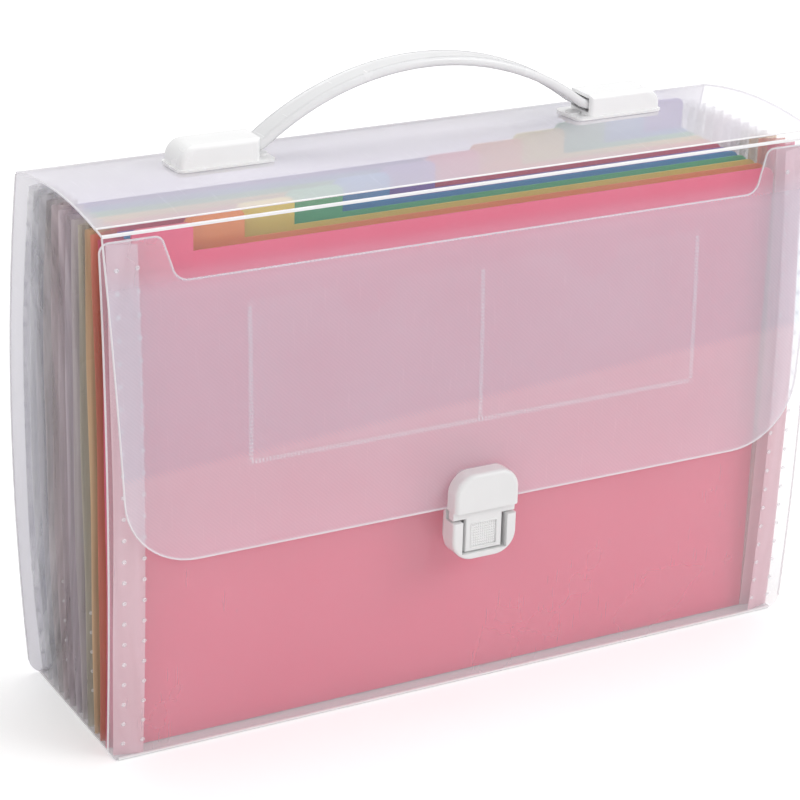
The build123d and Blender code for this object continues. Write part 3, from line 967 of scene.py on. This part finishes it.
@dataclass
class Studio:
    """Camera at the photograph's angle, pale floor and soft lights."""

    position: Triple = (-539.0, -953.6, 562.2)
    yaw: float = 28.94
    pitch: float = 22.13
    roll: float = 1.57
    lens: float = 121.55
    sensor: float = 36.0
    clip_end: float = 50.0
    floor_size: float = 12000.0
    floor_drop: float = 0.3
    world_light: float = 0.6
    target: Triple = (0.0, 0.0, 0.12)
    lamps: tuple[Lamp, ...] = (
        Lamp("key_light", (1.9, -1.8, 1.9), 1.6, 35.0),
        Lamp("fill_light", (-1.9, -1.5, 1.5), 1.8, 10.5),
        Lamp("top_light", (0.3, 0.9, 2.4), 1.8, 24.0),
    )
    transparent_bounces: int = 96
    bounces: int = 14

    def camera(self) -> None:
        """Makes the camera: forward = (sin y cos p, cos y cos p, -sin p), turned about it by the roll."""
        data = bpy.data.cameras.new("camera")
        data.lens, data.sensor_width, data.clip_end = self.lens, self.sensor, self.clip_end
        yaw, pitch, roll = (math.radians(a) for a in (self.yaw, self.pitch, self.roll))
        flat, drop = math.cos(pitch), math.sin(pitch)
        forward = np.array([math.sin(yaw) * flat, math.cos(yaw) * flat, -drop])
        level = np.array([math.cos(yaw), -math.sin(yaw), 0.0])
        rise = np.cross(level, forward)
        right = math.cos(roll) * level + math.sin(roll) * rise
        up = -math.sin(roll) * level + math.cos(roll) * rise
        axes = [right, up, -forward]
        bpy.context.scene.camera = stand("camera", data, axes, np.array(self.position) * MM)

    def floor(self) -> None:
        """Makes the pale floor."""
        corners = [(-1, -1), (1, -1), (1, 1), (-1, 1)]
        places = [(x * self.floor_size / 2, y * self.floor_size / 2, -self.floor_drop) for x, y in corners]
        draft = MeshDraft().add(np.array(places), np.array([[0, 1, 2, 3]]))
        draft.build("studio_floor", [FloorFinish("studio_floor")])

    def world(self) -> None:
        """Makes a plain world that the camera sees as white and that lights the file softly."""
        world = bpy.data.worlds.new("studio_world")
        bpy.context.scene.world = world
        world.use_nodes = True
        graph = Graph(world.node_tree)
        strength = graph.math("MULTIPLY_ADD", graph.seen(), 1 - self.world_light, self.world_light)
        background = graph.node("ShaderNodeBackground", {"Strength": strength})
        graph.node("ShaderNodeOutputWorld", {"Surface": background.outputs["Background"]})

    def build(self) -> None:
        """Makes the camera, the stage and the lights."""
        self.camera()
        self.floor()
        self.world()
        for lamp in self.lamps:
            lamp.build(self.target)
        scene = bpy.context.scene
        scene.view_settings.view_transform = "Standard"
        scene.cycles.transparent_max_bounces = self.transparent_bounces
        scene.cycles.max_bounces = self.bounces


@dataclass(frozen=True)
class Upright:
    """A bowed upright panel: its body, Y of its outer face at the foot, and its bow, negative in front."""

    body: str
    face_y: float
    bow: float

    @property
    def sign(self) -> float:
        """Way that the panel faces along Y."""
        return math.copysign(1.0, self.bow)

    def stand_out(self, z: np.ndarray) -> np.ndarray:
        """Signed stand-out at each height."""
        return self.sign * bow_at(z, abs(self.bow), SIZES.cover_height)

    def places(self, x: np.ndarray, z: np.ndarray, inward: float = 0.0) -> np.ndarray:
        """Places beside the outer face: (x, face_y + stand_out(z) + inward, z)."""
        return np.stack([x, self.face_y + self.stand_out(z) + inward, z], -1)

    def normals(self, z: np.ndarray) -> np.ndarray:
        """Unit normals away from the file, from the change of the stand-out over a millimetre of height."""
        slope = self.stand_out(z + 0.5) - self.stand_out(z - 0.5)
        return unit(np.stack([np.zeros_like(z), self.sign * np.ones_like(z), -self.sign * slope], -1))


FRONT = Upright("front", SIZES.front_y, -SIZES.front_bow)
FLAP = Upright("flap", SIZES.lid_front_y, -SIZES.front_bow)
BACK = Upright("case", SIZES.back_y, SIZES.back_bow)


@dataclass(frozen=True)
class Crease:
    """A living hinge round an outer corner (y, z), with directions along its panels and their bodies."""

    name: str
    corner: Pair
    first: Pair
    second: Pair
    end_inset: float
    bodies: tuple[str, ...]


@dataclass
class Cover:
    """The creased sheet: its five panels, the creases between them, their cut edges and the weld dots."""

    bead_radius: float = 0.44
    crease_reach: float = 1.15
    crease_thickness: float = 0.9
    crease_radius: float = 0.55
    crease_stand: float = 0.1
    crease_steps: int = 9
    crease_points: int = 41
    flap_crease_inset: float = 0.5
    back_crease_inset: float = 0.2
    foot_crease_inset: float = 5.0
    line_radius: float = 0.5
    line_flatness: float = 0.8
    line_sink: float = 0.12
    line_inset: float = 0.4
    line_points: int = 61
    cutout_corner: float = 4.0
    cutout_floor_corner: float = 7.0
    head_clearance: float = 1.2
    back_edge_points: int = 50
    lid_edge_inset: float = 0.5
    lid_edge_points: int = 40
    dot_pitch: float = 9.4
    dot_span: Pair = (8.0, 222.0)
    dot_columns: Pair = (162.3, 153.5)
    dot_radius: float = 1.0
    dot_rise: float = 0.26
    dot_drop: float = 0.05
    dot_fill: float = 1.5
    dot_steps: int = 6

    def bead(self, name: str, outline: np.ndarray, panel: Upright) -> None:
        """Rounded cut edge along an outline on an upright panel, near white as a painted highlight.

        Args:
            name: Name of the piece.
            outline: N x 2 places (x, z) along the edge.
            panel: The panel, whose sheet the bead follows along its middle.
        """
        x, z = outline.T
        path = panel.places(x, z, -panel.sign * SIZES.sheet / 2)
        draft = MeshDraft().add(*tube(path, panel.normals(z), self.bead_radius))
        attach(draft.build(name, [EDGE_WHITE]), "cover_sheet", panel.body)

    def front_outline(self) -> np.ndarray:
        """Edge of the front panel from foot to foot over the cut-out.

        Returns:
            N x 2 places (x, z).
        """
        half, cut = SIZES.half_width, SIZES.cutout_width / 2
        top, floor = SIZES.front_top, SIZES.front_top - SIZES.cutout_depth
        return mirrored_path([
            ((-half, SIZES.foot_corner_radius), 0.0),
            ((-half, top), self.cutout_corner),
            ((-cut, top), self.cutout_corner),
            ((-cut + SIZES.cutout_slope, floor), self.cutout_floor_corner),
        ])

    def flap_outline(self) -> np.ndarray:
        """Edge of the flap from one end of its crease round to the other.

        Returns:
            N x 2 places (x, z).
        """
        head, foot = SIZES.half_width - SIZES.flap_head_inset, SIZES.half_width - SIZES.flap_foot_inset
        top = SIZES.cover_height - SIZES.sheet - SIZES.crease_gap
        return mirrored_path([((-head, top), 0.0), ((-foot, SIZES.flap_foot), SIZES.flap_corner_radius)])

    def lid_edges(self) -> None:
        """Cut edges at both ends of the lid."""
        inset = self.lid_edge_inset
        y = np.linspace(SIZES.lid_front_y + inset, SIZES.back_y - inset, self.lid_edge_points)
        z = SIZES.cover_height + SIZES.crown_at(y) - SIZES.sheet / 2
        normal = unit(np.stack([np.zeros_like(y), -np.gradient(z, y), np.ones_like(y)], -1))
        for name, side in SIDES:
            path = np.stack([np.full_like(y, side * (SIZES.half_width - self.bead_radius)), y, z], -1)
            draft = MeshDraft().add(*tube(path, normal, self.bead_radius))
            attach(draft.build(f"lid_edge_{name}", [EDGE_WHITE]), "cover_sheet", "lid")

    def fold(self, crease: Crease) -> None:
        """Rounded living hinge between two panels, as a thin strip bent round their corner.

        The strip's outer line runs along the first leg, round an arc of the crease radius and along the
        second leg. Its inner line is the same, a thickness further in. With two bodies it is attached to no
        body, and its transform is baked into its mesh.

        Args:
            crease: The crease.
        """
        middle, a, b = (np.array(v, float) for v in (crease.corner, crease.first, crease.second))
        t = np.linspace(0, 1, self.crease_steps)[:, None]
        start, end = middle + a * self.crease_radius, middle + b * self.crease_radius
        arc = start * (1 - t) ** 2 + 2 * middle * t * (1 - t) + end * t**2
        near, far = middle + a * self.crease_reach, middle + b * self.crease_reach
        outer = np.concatenate([[near], arc, [far]])
        away = np.gradient(outer, axis=0)
        inward = unit(np.stack([-away[:, 1], away[:, 0]], -1))
        if np.dot(inward[len(inward) // 2], a + b) < 0:
            inward = -inward
        ring = np.concatenate([outer, (outer + inward * self.crease_thickness)[::-1]])
        half = SIZES.half_width - crease.end_inset
        x = np.linspace(-half, half, self.crease_points)
        rings = np.empty((len(x), len(ring), 3))
        rings[..., 0], rings[..., 1:] = x[:, None], ring
        piece = MeshDraft().add(*capped_sweep(rings)).build(crease.name, [CREASE_WHITE])
        if len(crease.bodies) == 1:
            attach(piece, "cover_sheet", *crease.bodies)
            return
        start, end = ((0, leg[0] * MM, leg[1] * MM) for leg in (near, far))
        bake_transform(piece)

    def creases(self) -> None:
        """The four creases of the cover and the pressed line on the lid."""
        stand, top = self.crease_stand, SIZES.cover_height + self.crease_stand
        front, back = SIZES.front_y - stand, SIZES.back_y + stand
        lip, flap, rear = SIZES.lid_front_y - stand, self.flap_crease_inset, self.back_crease_inset
        foot = self.foot_crease_inset
        for crease in (
            Crease("flap_crease", (lip, top), (1, 0), (0, -1), flap, ("lid", "flap")),
            Crease("back_crease", (back, top), (0, -1), (-1, 0), rear, ("case", "lid")),
            Crease("front_foot_crease", (front, 0.0), (1, 0), (0, 1), foot, ("case", "front")),
            Crease("back_foot_crease", (back, 0.0), (-1, 0), (0, 1), foot, ("case",)),
        ):
            self.fold(crease)
        y = SIZES.lid_front_y + SIZES.lid_line_setback
        half = SIZES.half_width - self.line_inset
        x = np.linspace(-half, half, self.line_points)
        path = np.empty((len(x), 3))
        path[:, 0], path[:, 1] = x, y
        path[:, 2] = SIZES.cover_height + SIZES.crown_at(y) - self.line_sink
        across = np.broadcast_to([0.0, 1.0, 0.0], path.shape)
        draft = MeshDraft().add(*tube(path, across, self.line_radius, flatten=self.line_flatness))
        attach(draft.build("lid_crease_line", [CREASE_WHITE]), "cover_sheet", "lid")

    def weld_dots(self) -> None:
        """Dimpled weld dots that hold the pleated sides on the front and back panels."""
        z = np.arange(*self.dot_span, self.dot_pitch)
        profile = dome(self.dot_radius, self.dot_rise, self.dot_fill, self.dot_steps, self.dot_drop)
        for name, panel in (("front", FRONT), ("back", BACK)):
            for end, side in SIDES:
                x = np.repeat([side * column for column in self.dot_columns], len(z))
                height = np.tile(z, len(self.dot_columns))
                dots = lathe_dots(panel.places(x, height), panel.normals(height), profile)
                piece = MeshDraft().add(*dots).build(f"weld_dots_{name}_{end}", [WELD_WHITE])
                attach(piece, "gusset_film", panel.body)

    def build(self) -> None:
        """Dresses and details the cover."""
        films = (FRONT_FILM, FLAP_FILM, LID_FILM, BACK_FILM, BASE_FILM)
        for name, film in zip(("front", "flap", "top", "back", "base"), films):
            dress(f"{name}_panel", film)
        self.bead("front_edge", self.front_outline(), FRONT)
        self.bead("flap_edge", self.flap_outline(), FLAP)
        top = SIZES.cover_height - self.head_clearance
        z = np.linspace(SIZES.foot_corner_radius, top, self.back_edge_points)
        for name, side in SIDES:
            outline = np.stack([np.full_like(z, side * SIZES.half_width), z], -1)
            self.bead(f"back_edge_{name}", outline, BACK)
        self.lid_edges()
        self.creases()
        self.weld_dots()


@dataclass
class PleatedSides:
    """The concertina films between the panels, one folded strip for each pocket and side."""

    across: int = 17
    levels: int = 29
    panel_gap: float = 0.1
    fold_softness: float = 0.1
    ripple: float = 0.25
    ripple_length: float = 19.0
    ripple_turn: float = 2.1
    sway: float = 0.015
    sway_length: float = 41.0
    fold_thinness: float = 0.35
    # Painted light and shade on the pleated films: the shares give each film part of its leaves' colour as
    # painted coloured light, strongest at the front, and the shaded base channels give a grey base as
    # painted shade on the sides, darkest a quarter to a third of the way back.
    tint_places: tuple[float, ...] = (0.0, 0.08, 0.17, 0.25, 0.33, 0.42, 0.55, 0.7, 0.85, 1.0)
    tint_shares: tuple[float, ...] = (0.5, 0.97, 0.97, 0.42, 0.16, 0.1, 0.1, 0.1, 0.1, 0.1)
    alphas: tuple[float, ...] = (0.9, 0.6, 0.6, 0.55, 0.45, 0.42, 0.42, 0.4, 0.36, 0.3)
    base_channels: tuple[tuple[float, ...], ...] = (
        (1.0, 0.7, 0.6, 0.5, 0.5, 0.74, 0.68, 0.58, 0.6, 0.82),
        (0.98, 0.5, 0.45, 0.38, 0.44, 0.6, 0.61, 0.57, 0.56, 0.79),
        (1.0, 0.5, 0.42, 0.38, 0.42, 0.6, 0.62, 0.61, 0.64, 0.86),
    )
    streaks: float = 0.5
    front_streaks: float = 0.12
    dotted: tuple[int, ...] = (4, 8)
    dot_span: Pair = (17.0, 55.0)
    dot_pitch: float = 9.0
    dot_radius: float = 0.9
    dot_rise: float = 0.2
    dot_depth_share: float = 0.36
    dot_reach_share: float = 0.72
    dot_stand: float = 0.9
    dot_fill: float = 1.4
    dot_steps: int = 5
    dot_sides: int = 8
    roughness: float = 0.3
    tone_scale: float = 30.0
    blend_points: int = 4001
    sharp: float = 60.0

    def strip(self, pocket: int, side: int) -> Patch:
        """One pocket's folded film.

        The section is x = inner + width * (1 - sqrt((2t - 1)^2 + s^2)) and y = lerp(y0, y1, t), with t
        across the pocket and s the fold's softness. Its skins stand half a film along X to each side.

        Args:
            pocket: Pocket number, 0 at the front.
            side: -1 on the left and 1 on the right.

        Returns:
            The points and the faces of the closed film.
        """
        z = np.linspace(SIZES.gusset_foot, SIZES.gusset_top, self.levels)[:, None]
        t = np.linspace(0, 1, self.across)[None, :]
        start, end = SIZES.inner_faces(z, self.panel_gap)
        pitch = (end - start) / SIZES.pockets
        soft = self.fold_softness
        rise = 1 - (np.sqrt((2 * t - 1) ** 2 + soft**2) - soft) / (math.hypot(1, soft) - soft)
        wave = np.sin(z / self.ripple_length + self.ripple_turn * pocket + side)
        sway = 1 - self.sway + self.sway * np.sin(z / self.sway_length + pocket)
        x = SIZES.gusset_inner + SIZES.pleat_width * rise * sway
        x = x + self.ripple * wave * np.sin(np.pi * t) ** 2
        slope = np.hypot(2 * SIZES.pleat_width, pitch) / pitch
        thinness = self.fold_thinness + (1 - self.fold_thinness) * np.abs(2 * t - 1) ** 0.5
        half = SIZES.film * slope / 2 * thinness
        y, height = start + (pocket + t) * pitch, np.broadcast_to(z, x.shape)
        return two_skins(*(np.stack([side * (x + step), y, height], -1) for step in (half, -half)))

    def dots(self, pocket: int, side: int) -> Patch:
        """Weld dots low on the outer fold of a pocket's film.

        Args:
            pocket: Pocket number, 0 at the front.
            side: -1 on the left and 1 on the right.

        Returns:
            The points and the faces.
        """
        z = np.arange(*self.dot_span, self.dot_pitch) + (pocket % 3)
        start, end = SIZES.inner_faces(z)
        y = start + (pocket + self.dot_depth_share) * (end - start) / SIZES.pockets
        x = side * (SIZES.gusset_inner + self.dot_reach_share * SIZES.pleat_width + self.dot_stand)
        places = np.stack([np.full_like(z, x), y, z], -1)
        slant = unit(np.array([side * SIZES.pitch / 2, -SIZES.pleat_width, 0.0]))
        profile = dome(self.dot_radius, self.dot_rise, self.dot_fill, self.dot_steps)
        return lathe_dots(places, np.broadcast_to(slant, places.shape), profile, self.dot_sides)

    def bend(self, piece: Piece, pocket: int) -> None:
        """Bakes a strip's transform into its mesh.

        Args:
            piece: The strip.
            pocket: Pocket number, 0 at the front. Not used.
        """
        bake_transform(piece)

    def film(self, pocket: int) -> FilmFinish:
        """Film that carries the mean colour of the two leaves before it, strongest in front, as painted
        coloured light from the leaves over a base colour with painted shade.

        Args:
            pocket: Pocket number, 0 at the front.

        Returns:
            The finish.
        """
        place = pocket / (SIZES.pockets - 1)
        rows = (self.tint_shares, self.alphas, *self.base_channels)
        share, alpha, *base = (float(np.interp(place, self.tint_places, row)) for row in rows)
        leaves = [LeafColour.of_leaf(max(number, 1)).value for number in (pocket, pocket - 1)]
        leaf_light_colour = [(one + other) / 2 for one, other in zip(*leaves)]
        color = tuple((1 - share) * tone + share * shade for tone, shade in zip(base, leaf_light_colour))
        return FilmFinish(
            f"pleat_film_{pocket + 1:02d}", color, alpha, roughness=self.roughness, line_alpha=0.0,
            relief_depth=0.0, tone_scale=self.tone_scale,
            streaks=self.streaks if pocket else self.front_streaks,
        )

    def build(self) -> None:
        """Makes all the strips and bakes their transforms."""
        for name, side in SIDES:
            for pocket in range(SIZES.pockets):
                draft = MeshDraft().add(*self.strip(pocket, side))
                if pocket in self.dotted:
                    draft.add(*self.dots(pocket, side), slot=1)
                finishes = [self.film(pocket), WELD_WHITE]
                piece = draft.build(f"pleat_{name}_{pocket + 1:02d}", finishes, self.sharp)
                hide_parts(f"gusset_{name}")
                self.bend(piece, pocket)


@dataclass
class Leaves:
    """Coloured leaves and their index tabs."""

    count: int = 12
    leaf: Pair = (0.97, 0.34)
    tab: Pair = (0.96, 0.28)

    def build(self) -> None:
        """Dresses the leaves and tabs in their colours, with their alpha and roughness."""
        for number in range(1, self.count + 1):
            colour = LeafColour.of_leaf(number)
            parts = (("divider", "leaf", self.leaf), ("index_tab", "tab", self.tab))
            for node, kind, (alpha, rough) in parts:
                name = f"{kind}_sheet_{colour.tag}"
                film = FilmFinish(
                    name, colour.value, alpha, roughness=rough, line_alpha=0.0, relief_depth=0.0
                )
                dress(f"{node}_{number:02d}", film)


@dataclass
class CardPockets:
    """The film with two card pockets, its thumb notches and its stitched-looking weld lines."""

    width: float = 108.0
    height: float = 70.0
    top: float = 195.0
    thickness: float = 0.4
    seat: float = 0.02
    levels: int = 15
    notch_radius: float = 13.0
    notch_points: int = 17
    end_points: int = 8
    middle_points: int = 14
    weld_width: float = 2.0
    weld_pitch: float = 1.6
    weld_length: float = 0.8
    weld_rise: float = 0.22
    weld_sink: float = 0.05
    weld_taper: float = 0.72
    weld_inset: float = 0.4
    weld_foot: float = 3.0
    weld_start: float = 2.0
    weld_end: float = 1.5
    weld_sharp: float = 20.0

    def film(self) -> Patch:
        """The film: x across, z from the foot up to a top line that dips by the notches' circles.

        Returns:
            The points and the faces.
        """
        notch, half = self.notch_radius, self.width / 2
        arc = notch * np.cos(np.linspace(np.pi, 0, self.notch_points))
        x = np.concatenate([
            np.linspace(-self.width, -half - notch, self.end_points)[:-1],
            -half + arc,
            np.linspace(-half + notch, half - notch, self.middle_points)[1:-1],
            half + arc,
            np.linspace(half + notch, self.width, self.end_points)[1:],
        ])
        dip = np.sqrt(np.maximum(notch**2 - np.abs(np.abs(x) - half) ** 2, 0))
        share = np.linspace(0, 1, self.levels)[None, :]
        z = (self.top - self.height) + (self.height - dip[:, None]) * share
        across = np.broadcast_to(x[:, None], z.shape)
        return two_skins(*(FRONT.places(across, z, -out) for out in (self.thickness, self.seat)))

    def welds(self) -> Patch:
        """Short raised bars along the three upright welds and the foot weld.

        Returns:
            The points and the faces.
        """
        foot, inset = self.top - self.height, self.weld_width / 2 + self.weld_inset
        z = np.arange(foot + self.weld_foot, self.top - self.weld_end, self.weld_pitch)
        x = np.arange(-self.width + self.weld_start, self.width - self.weld_end, self.weld_pitch)
        columns = (-self.width + inset, 0.0, self.width - inset)
        upright = [np.stack([np.full_like(z, column), z], -1) for column in columns]
        places = np.concatenate([*upright, np.stack([x, np.full_like(x, foot + inset)], -1)])
        size = (self.weld_width, self.weld_length)
        reach = np.repeat([size, size[::-1]], [len(columns) * len(z), len(x)], axis=0)
        corners = np.array([(-1, -1), (1, -1), (1, 1), (-1, 1)], float) * reach[:, None] / 2
        low, high = places[:, None] + corners, places[:, None] + self.weld_taper * corners
        base = FRONT.places(low[..., 0], low[..., 1], self.weld_sink - self.thickness)
        crest = FRONT.places(high[..., 0], high[..., 1], -self.thickness - self.weld_rise)
        points = np.concatenate([base, crest], axis=1)
        one = np.array([[0, 1, 5, 4], [1, 2, 6, 5], [2, 3, 7, 6], [3, 0, 4, 7], [4, 5, 6, 7], [3, 2, 1, 0]])
        return points, (one[None] + 8 * np.arange(len(points))[:, None, None]).reshape(-1, 4)

    def build(self) -> None:
        """Makes the film and its welds."""
        film = MeshDraft().add(*self.film()).build("card_pocket_film", [CARD_FILM])
        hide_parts("card_pocket")
        draft = MeshDraft().add(*self.welds())
        welds = draft.build("card_pocket_welds", [POCKET_WELD], self.weld_sharp)
        for piece in (film, welds):
            attach(piece, "card_film", "front")


@dataclass
class PressLatch:
    """The latch: housing, press pad and cap in white plastic, with a dimpled grip."""

    pad_width: float = 11.8
    pad_height: float = 10.6
    pad_middle: float = 76.35
    pad_depth: float = 6.9
    pad_sink: float = 0.15
    dimples: tuple[int, int] = (11, 9)
    dimple_steps: int = 6
    dimple_rise: float = 0.32
    rim_width: float = 12.6
    rim_height: float = 11.4
    rim_corner: float = 0.6
    rim_radius: float = 0.32
    grip_sharp: float = 25.0
    rim_sharp: float = 60.0
    face_depth: float = 7.4
    nodes: tuple[str, ...] = (
        "latch_housing", "latch_tongue", "latch_cap", "latch_housing_backplate", "latch_cap_backplate",
        "latch_housing_rivets", "latch_cap_rivets",
    )

    def grip(self) -> Patch:
        """Pad of small pyramids: out = rise * min(|sin(pi m u)|, |sin(pi n v)|) over the square (u, v).

        Returns:
            The points and the faces.
        """
        u, v = (np.linspace(0, 1, count * self.dimple_steps + 1) for count in self.dimples)
        waves = [np.abs(np.sin(np.pi * count * t)) for count, t in zip(self.dimples, (u, v))]
        rise = self.dimple_rise * np.minimum(waves[0][:, None], waves[1][None, :])
        x = np.broadcast_to((u[:, None] - 0.5) * self.pad_width, rise.shape)
        z = np.broadcast_to(self.pad_middle + (v[None, :] - 0.5) * self.pad_height, rise.shape)
        face_y = SIZES.latch_y - self.pad_depth
        skins = (face_y - rise, np.full_like(rise, face_y + self.pad_sink))
        return two_skins(*(np.stack([x, y, z], -1) for y in skins))

    def rim(self) -> Patch:
        """Raised bead around the grip's field, a closed tube on the pad's face.

        Returns:
            The points and the faces.
        """
        half = self.rim_width / 2
        low, high = self.pad_middle - self.rim_height / 2, self.pad_middle + self.rim_height / 2
        places = ((0.0, low), (half, low), (half, high), (-half, high), (-half, low), (0.0, low))
        radii = (0.0, *[self.rim_corner] * 4, 0.0)
        x, z = rounded_path(list(zip(places, radii)), step=1.0)[:-1].T
        path = np.stack([x, np.full_like(x, SIZES.latch_y - self.face_depth), z], -1)
        return tube(path, np.broadcast_to([0.0, -1.0, 0.0], path.shape), self.rim_radius, closed=True)

    def build(self) -> None:
        """Dresses the latch and adds the grip and its rim."""
        for node in self.nodes:
            dress(node, LATCH_WHITE)
        parts = (("grip", self.grip(), self.grip_sharp), ("rim", self.rim(), self.rim_sharp))
        for name, patch, sharp in parts:
            piece = MeshDraft().add(*patch).build(f"latch_pad_{name}", [LATCH_WHITE], sharp)
            attach(piece, "latch_plastic", "latch_press")


@dataclass
class CarryHandle:
    """The arched strap with its raised rim, and the two brackets."""

    width: float = 13.5
    thickness: float = 4.0
    roundness: float = 0.8
    rim: float = 1.7
    rim_slope: float = 0.5
    floor_step: float = 2.5
    recess: float = 0.4
    tail_z: float = 240.648
    bend_x: float = 82.136
    tail: float = 4.0
    bend_radius: float = 12.0
    arch_radius: float = 125.0
    run_steps: tuple[int, ...] = (3, 8, 56, 8, 4)
    side_points: int = 7
    flat_share: float = 0.3
    sharp: float = 50.0

    def centre_line(self) -> Patch:
        """Strap's middle line in XZ with its headings: level tail, bend, arch, bend back and level tail.

        Returns:
            N x 2 places (x, z) and the heading angle at each.
        """
        angle = math.asin(self.bend_x / (self.arch_radius + self.bend_radius))
        bend, arch = self.bend_radius * angle, self.arch_radius * 2 * angle
        runs = ((0.0, self.tail), (angle, bend), (-angle, arch), (0.0, bend), (0.0, self.tail))
        turn, lengths = np.zeros(1), np.zeros(0)
        for count, (heading, length) in zip(self.run_steps, runs):
            turn = np.concatenate([turn, np.linspace(turn[-1], heading, count + 1)[1:]])
            lengths = np.concatenate([lengths, np.full(count, length / count)])
        steps = np.diff(turn)
        chord = lengths * np.where(steps == 0, 1, np.sin(steps / 2) / np.where(steps == 0, 1, steps / 2))
        heading = turn[:-1] + steps / 2
        x = np.concatenate([[0], np.cumsum(chord * np.cos(heading))])
        z = np.concatenate([[0], np.cumsum(chord * np.sin(heading))])
        return np.stack([x - x[-1] / 2, self.tail_z + z], -1), turn

    def section(self) -> np.ndarray:
        """Closed section (across, up): a bar with rounded edges and a raised rim along all four corners.

        Returns:
            N x 2 points. The second half is the first one turned by half a turn.
        """
        half, deep = self.width / 2, self.thickness / 2
        side = np.linspace(-np.pi / 2, np.pi / 2, self.side_points)
        low, edge = deep - self.recess, deep - self.recess / 2
        inner, slope = half - self.rim, self.rim_slope
        edge_x = half - deep * self.roundness + deep * self.roundness * np.cos(side)
        face_x = [inner + slope, inner, inner - slope, self.floor_step, 0.0,
                  -self.floor_step, -inner + slope, -inner, -inner - slope]
        face_z = [deep, edge, low, low, low, low, low, edge, deep]
        ring = np.stack([[*edge_x, *face_x], [*deep * np.sin(side), *face_z]], -1)
        return np.concatenate([ring, -ring])

    def strap(self) -> Patch:
        """The strap: the section carried along the middle line, across = Y and up = the line's normal.

        Returns:
            The points and the faces.
        """
        line, turn = self.centre_line()
        section = self.section()[None]
        up = np.stack([-np.sin(turn), np.zeros_like(turn), np.cos(turn)], -1)
        path = np.stack([line[:, 0], np.full(len(line), SIZES.handle_y), line[:, 1]], -1)
        rings = path[:, None] + section[..., 0:1] * [0.0, 1.0, 0.0] + section[..., 1:2] * up[:, None]
        return capped_sweep(rings)

    def build(self) -> None:
        """Makes the strap and dresses the brackets."""
        strap = MeshDraft().add(*self.strap()).build("handle_strap_detail", [STRAP_CLEAR], self.sharp)
        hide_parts("handle_strap")
        attach(strap, "strap_plastic", "lid")
        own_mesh(strap)
        for side, _ in SIDES:
            dress(f"handle_end_{side}", STRAP_CLEAR)
            for node in ("bracket", "bracket_base", "bracket_backplate", "bracket_rivets"):
                dress(f"{node}_{side}", BRACKET_WHITE)


def main() -> None:
    """Builds the studio and every sub-assembly."""
    logging.basicConfig(level=logging.INFO, format="%(message)s")
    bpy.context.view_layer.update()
    Studio().build()
    for assembly in (Cover(), PleatedSides(), Leaves(), CardPockets(), PressLatch(), CarryHandle()):
        assembly.build()
        log.info("%s is in place", type(assembly).__name__)


if __name__ == "__main__":
    main()
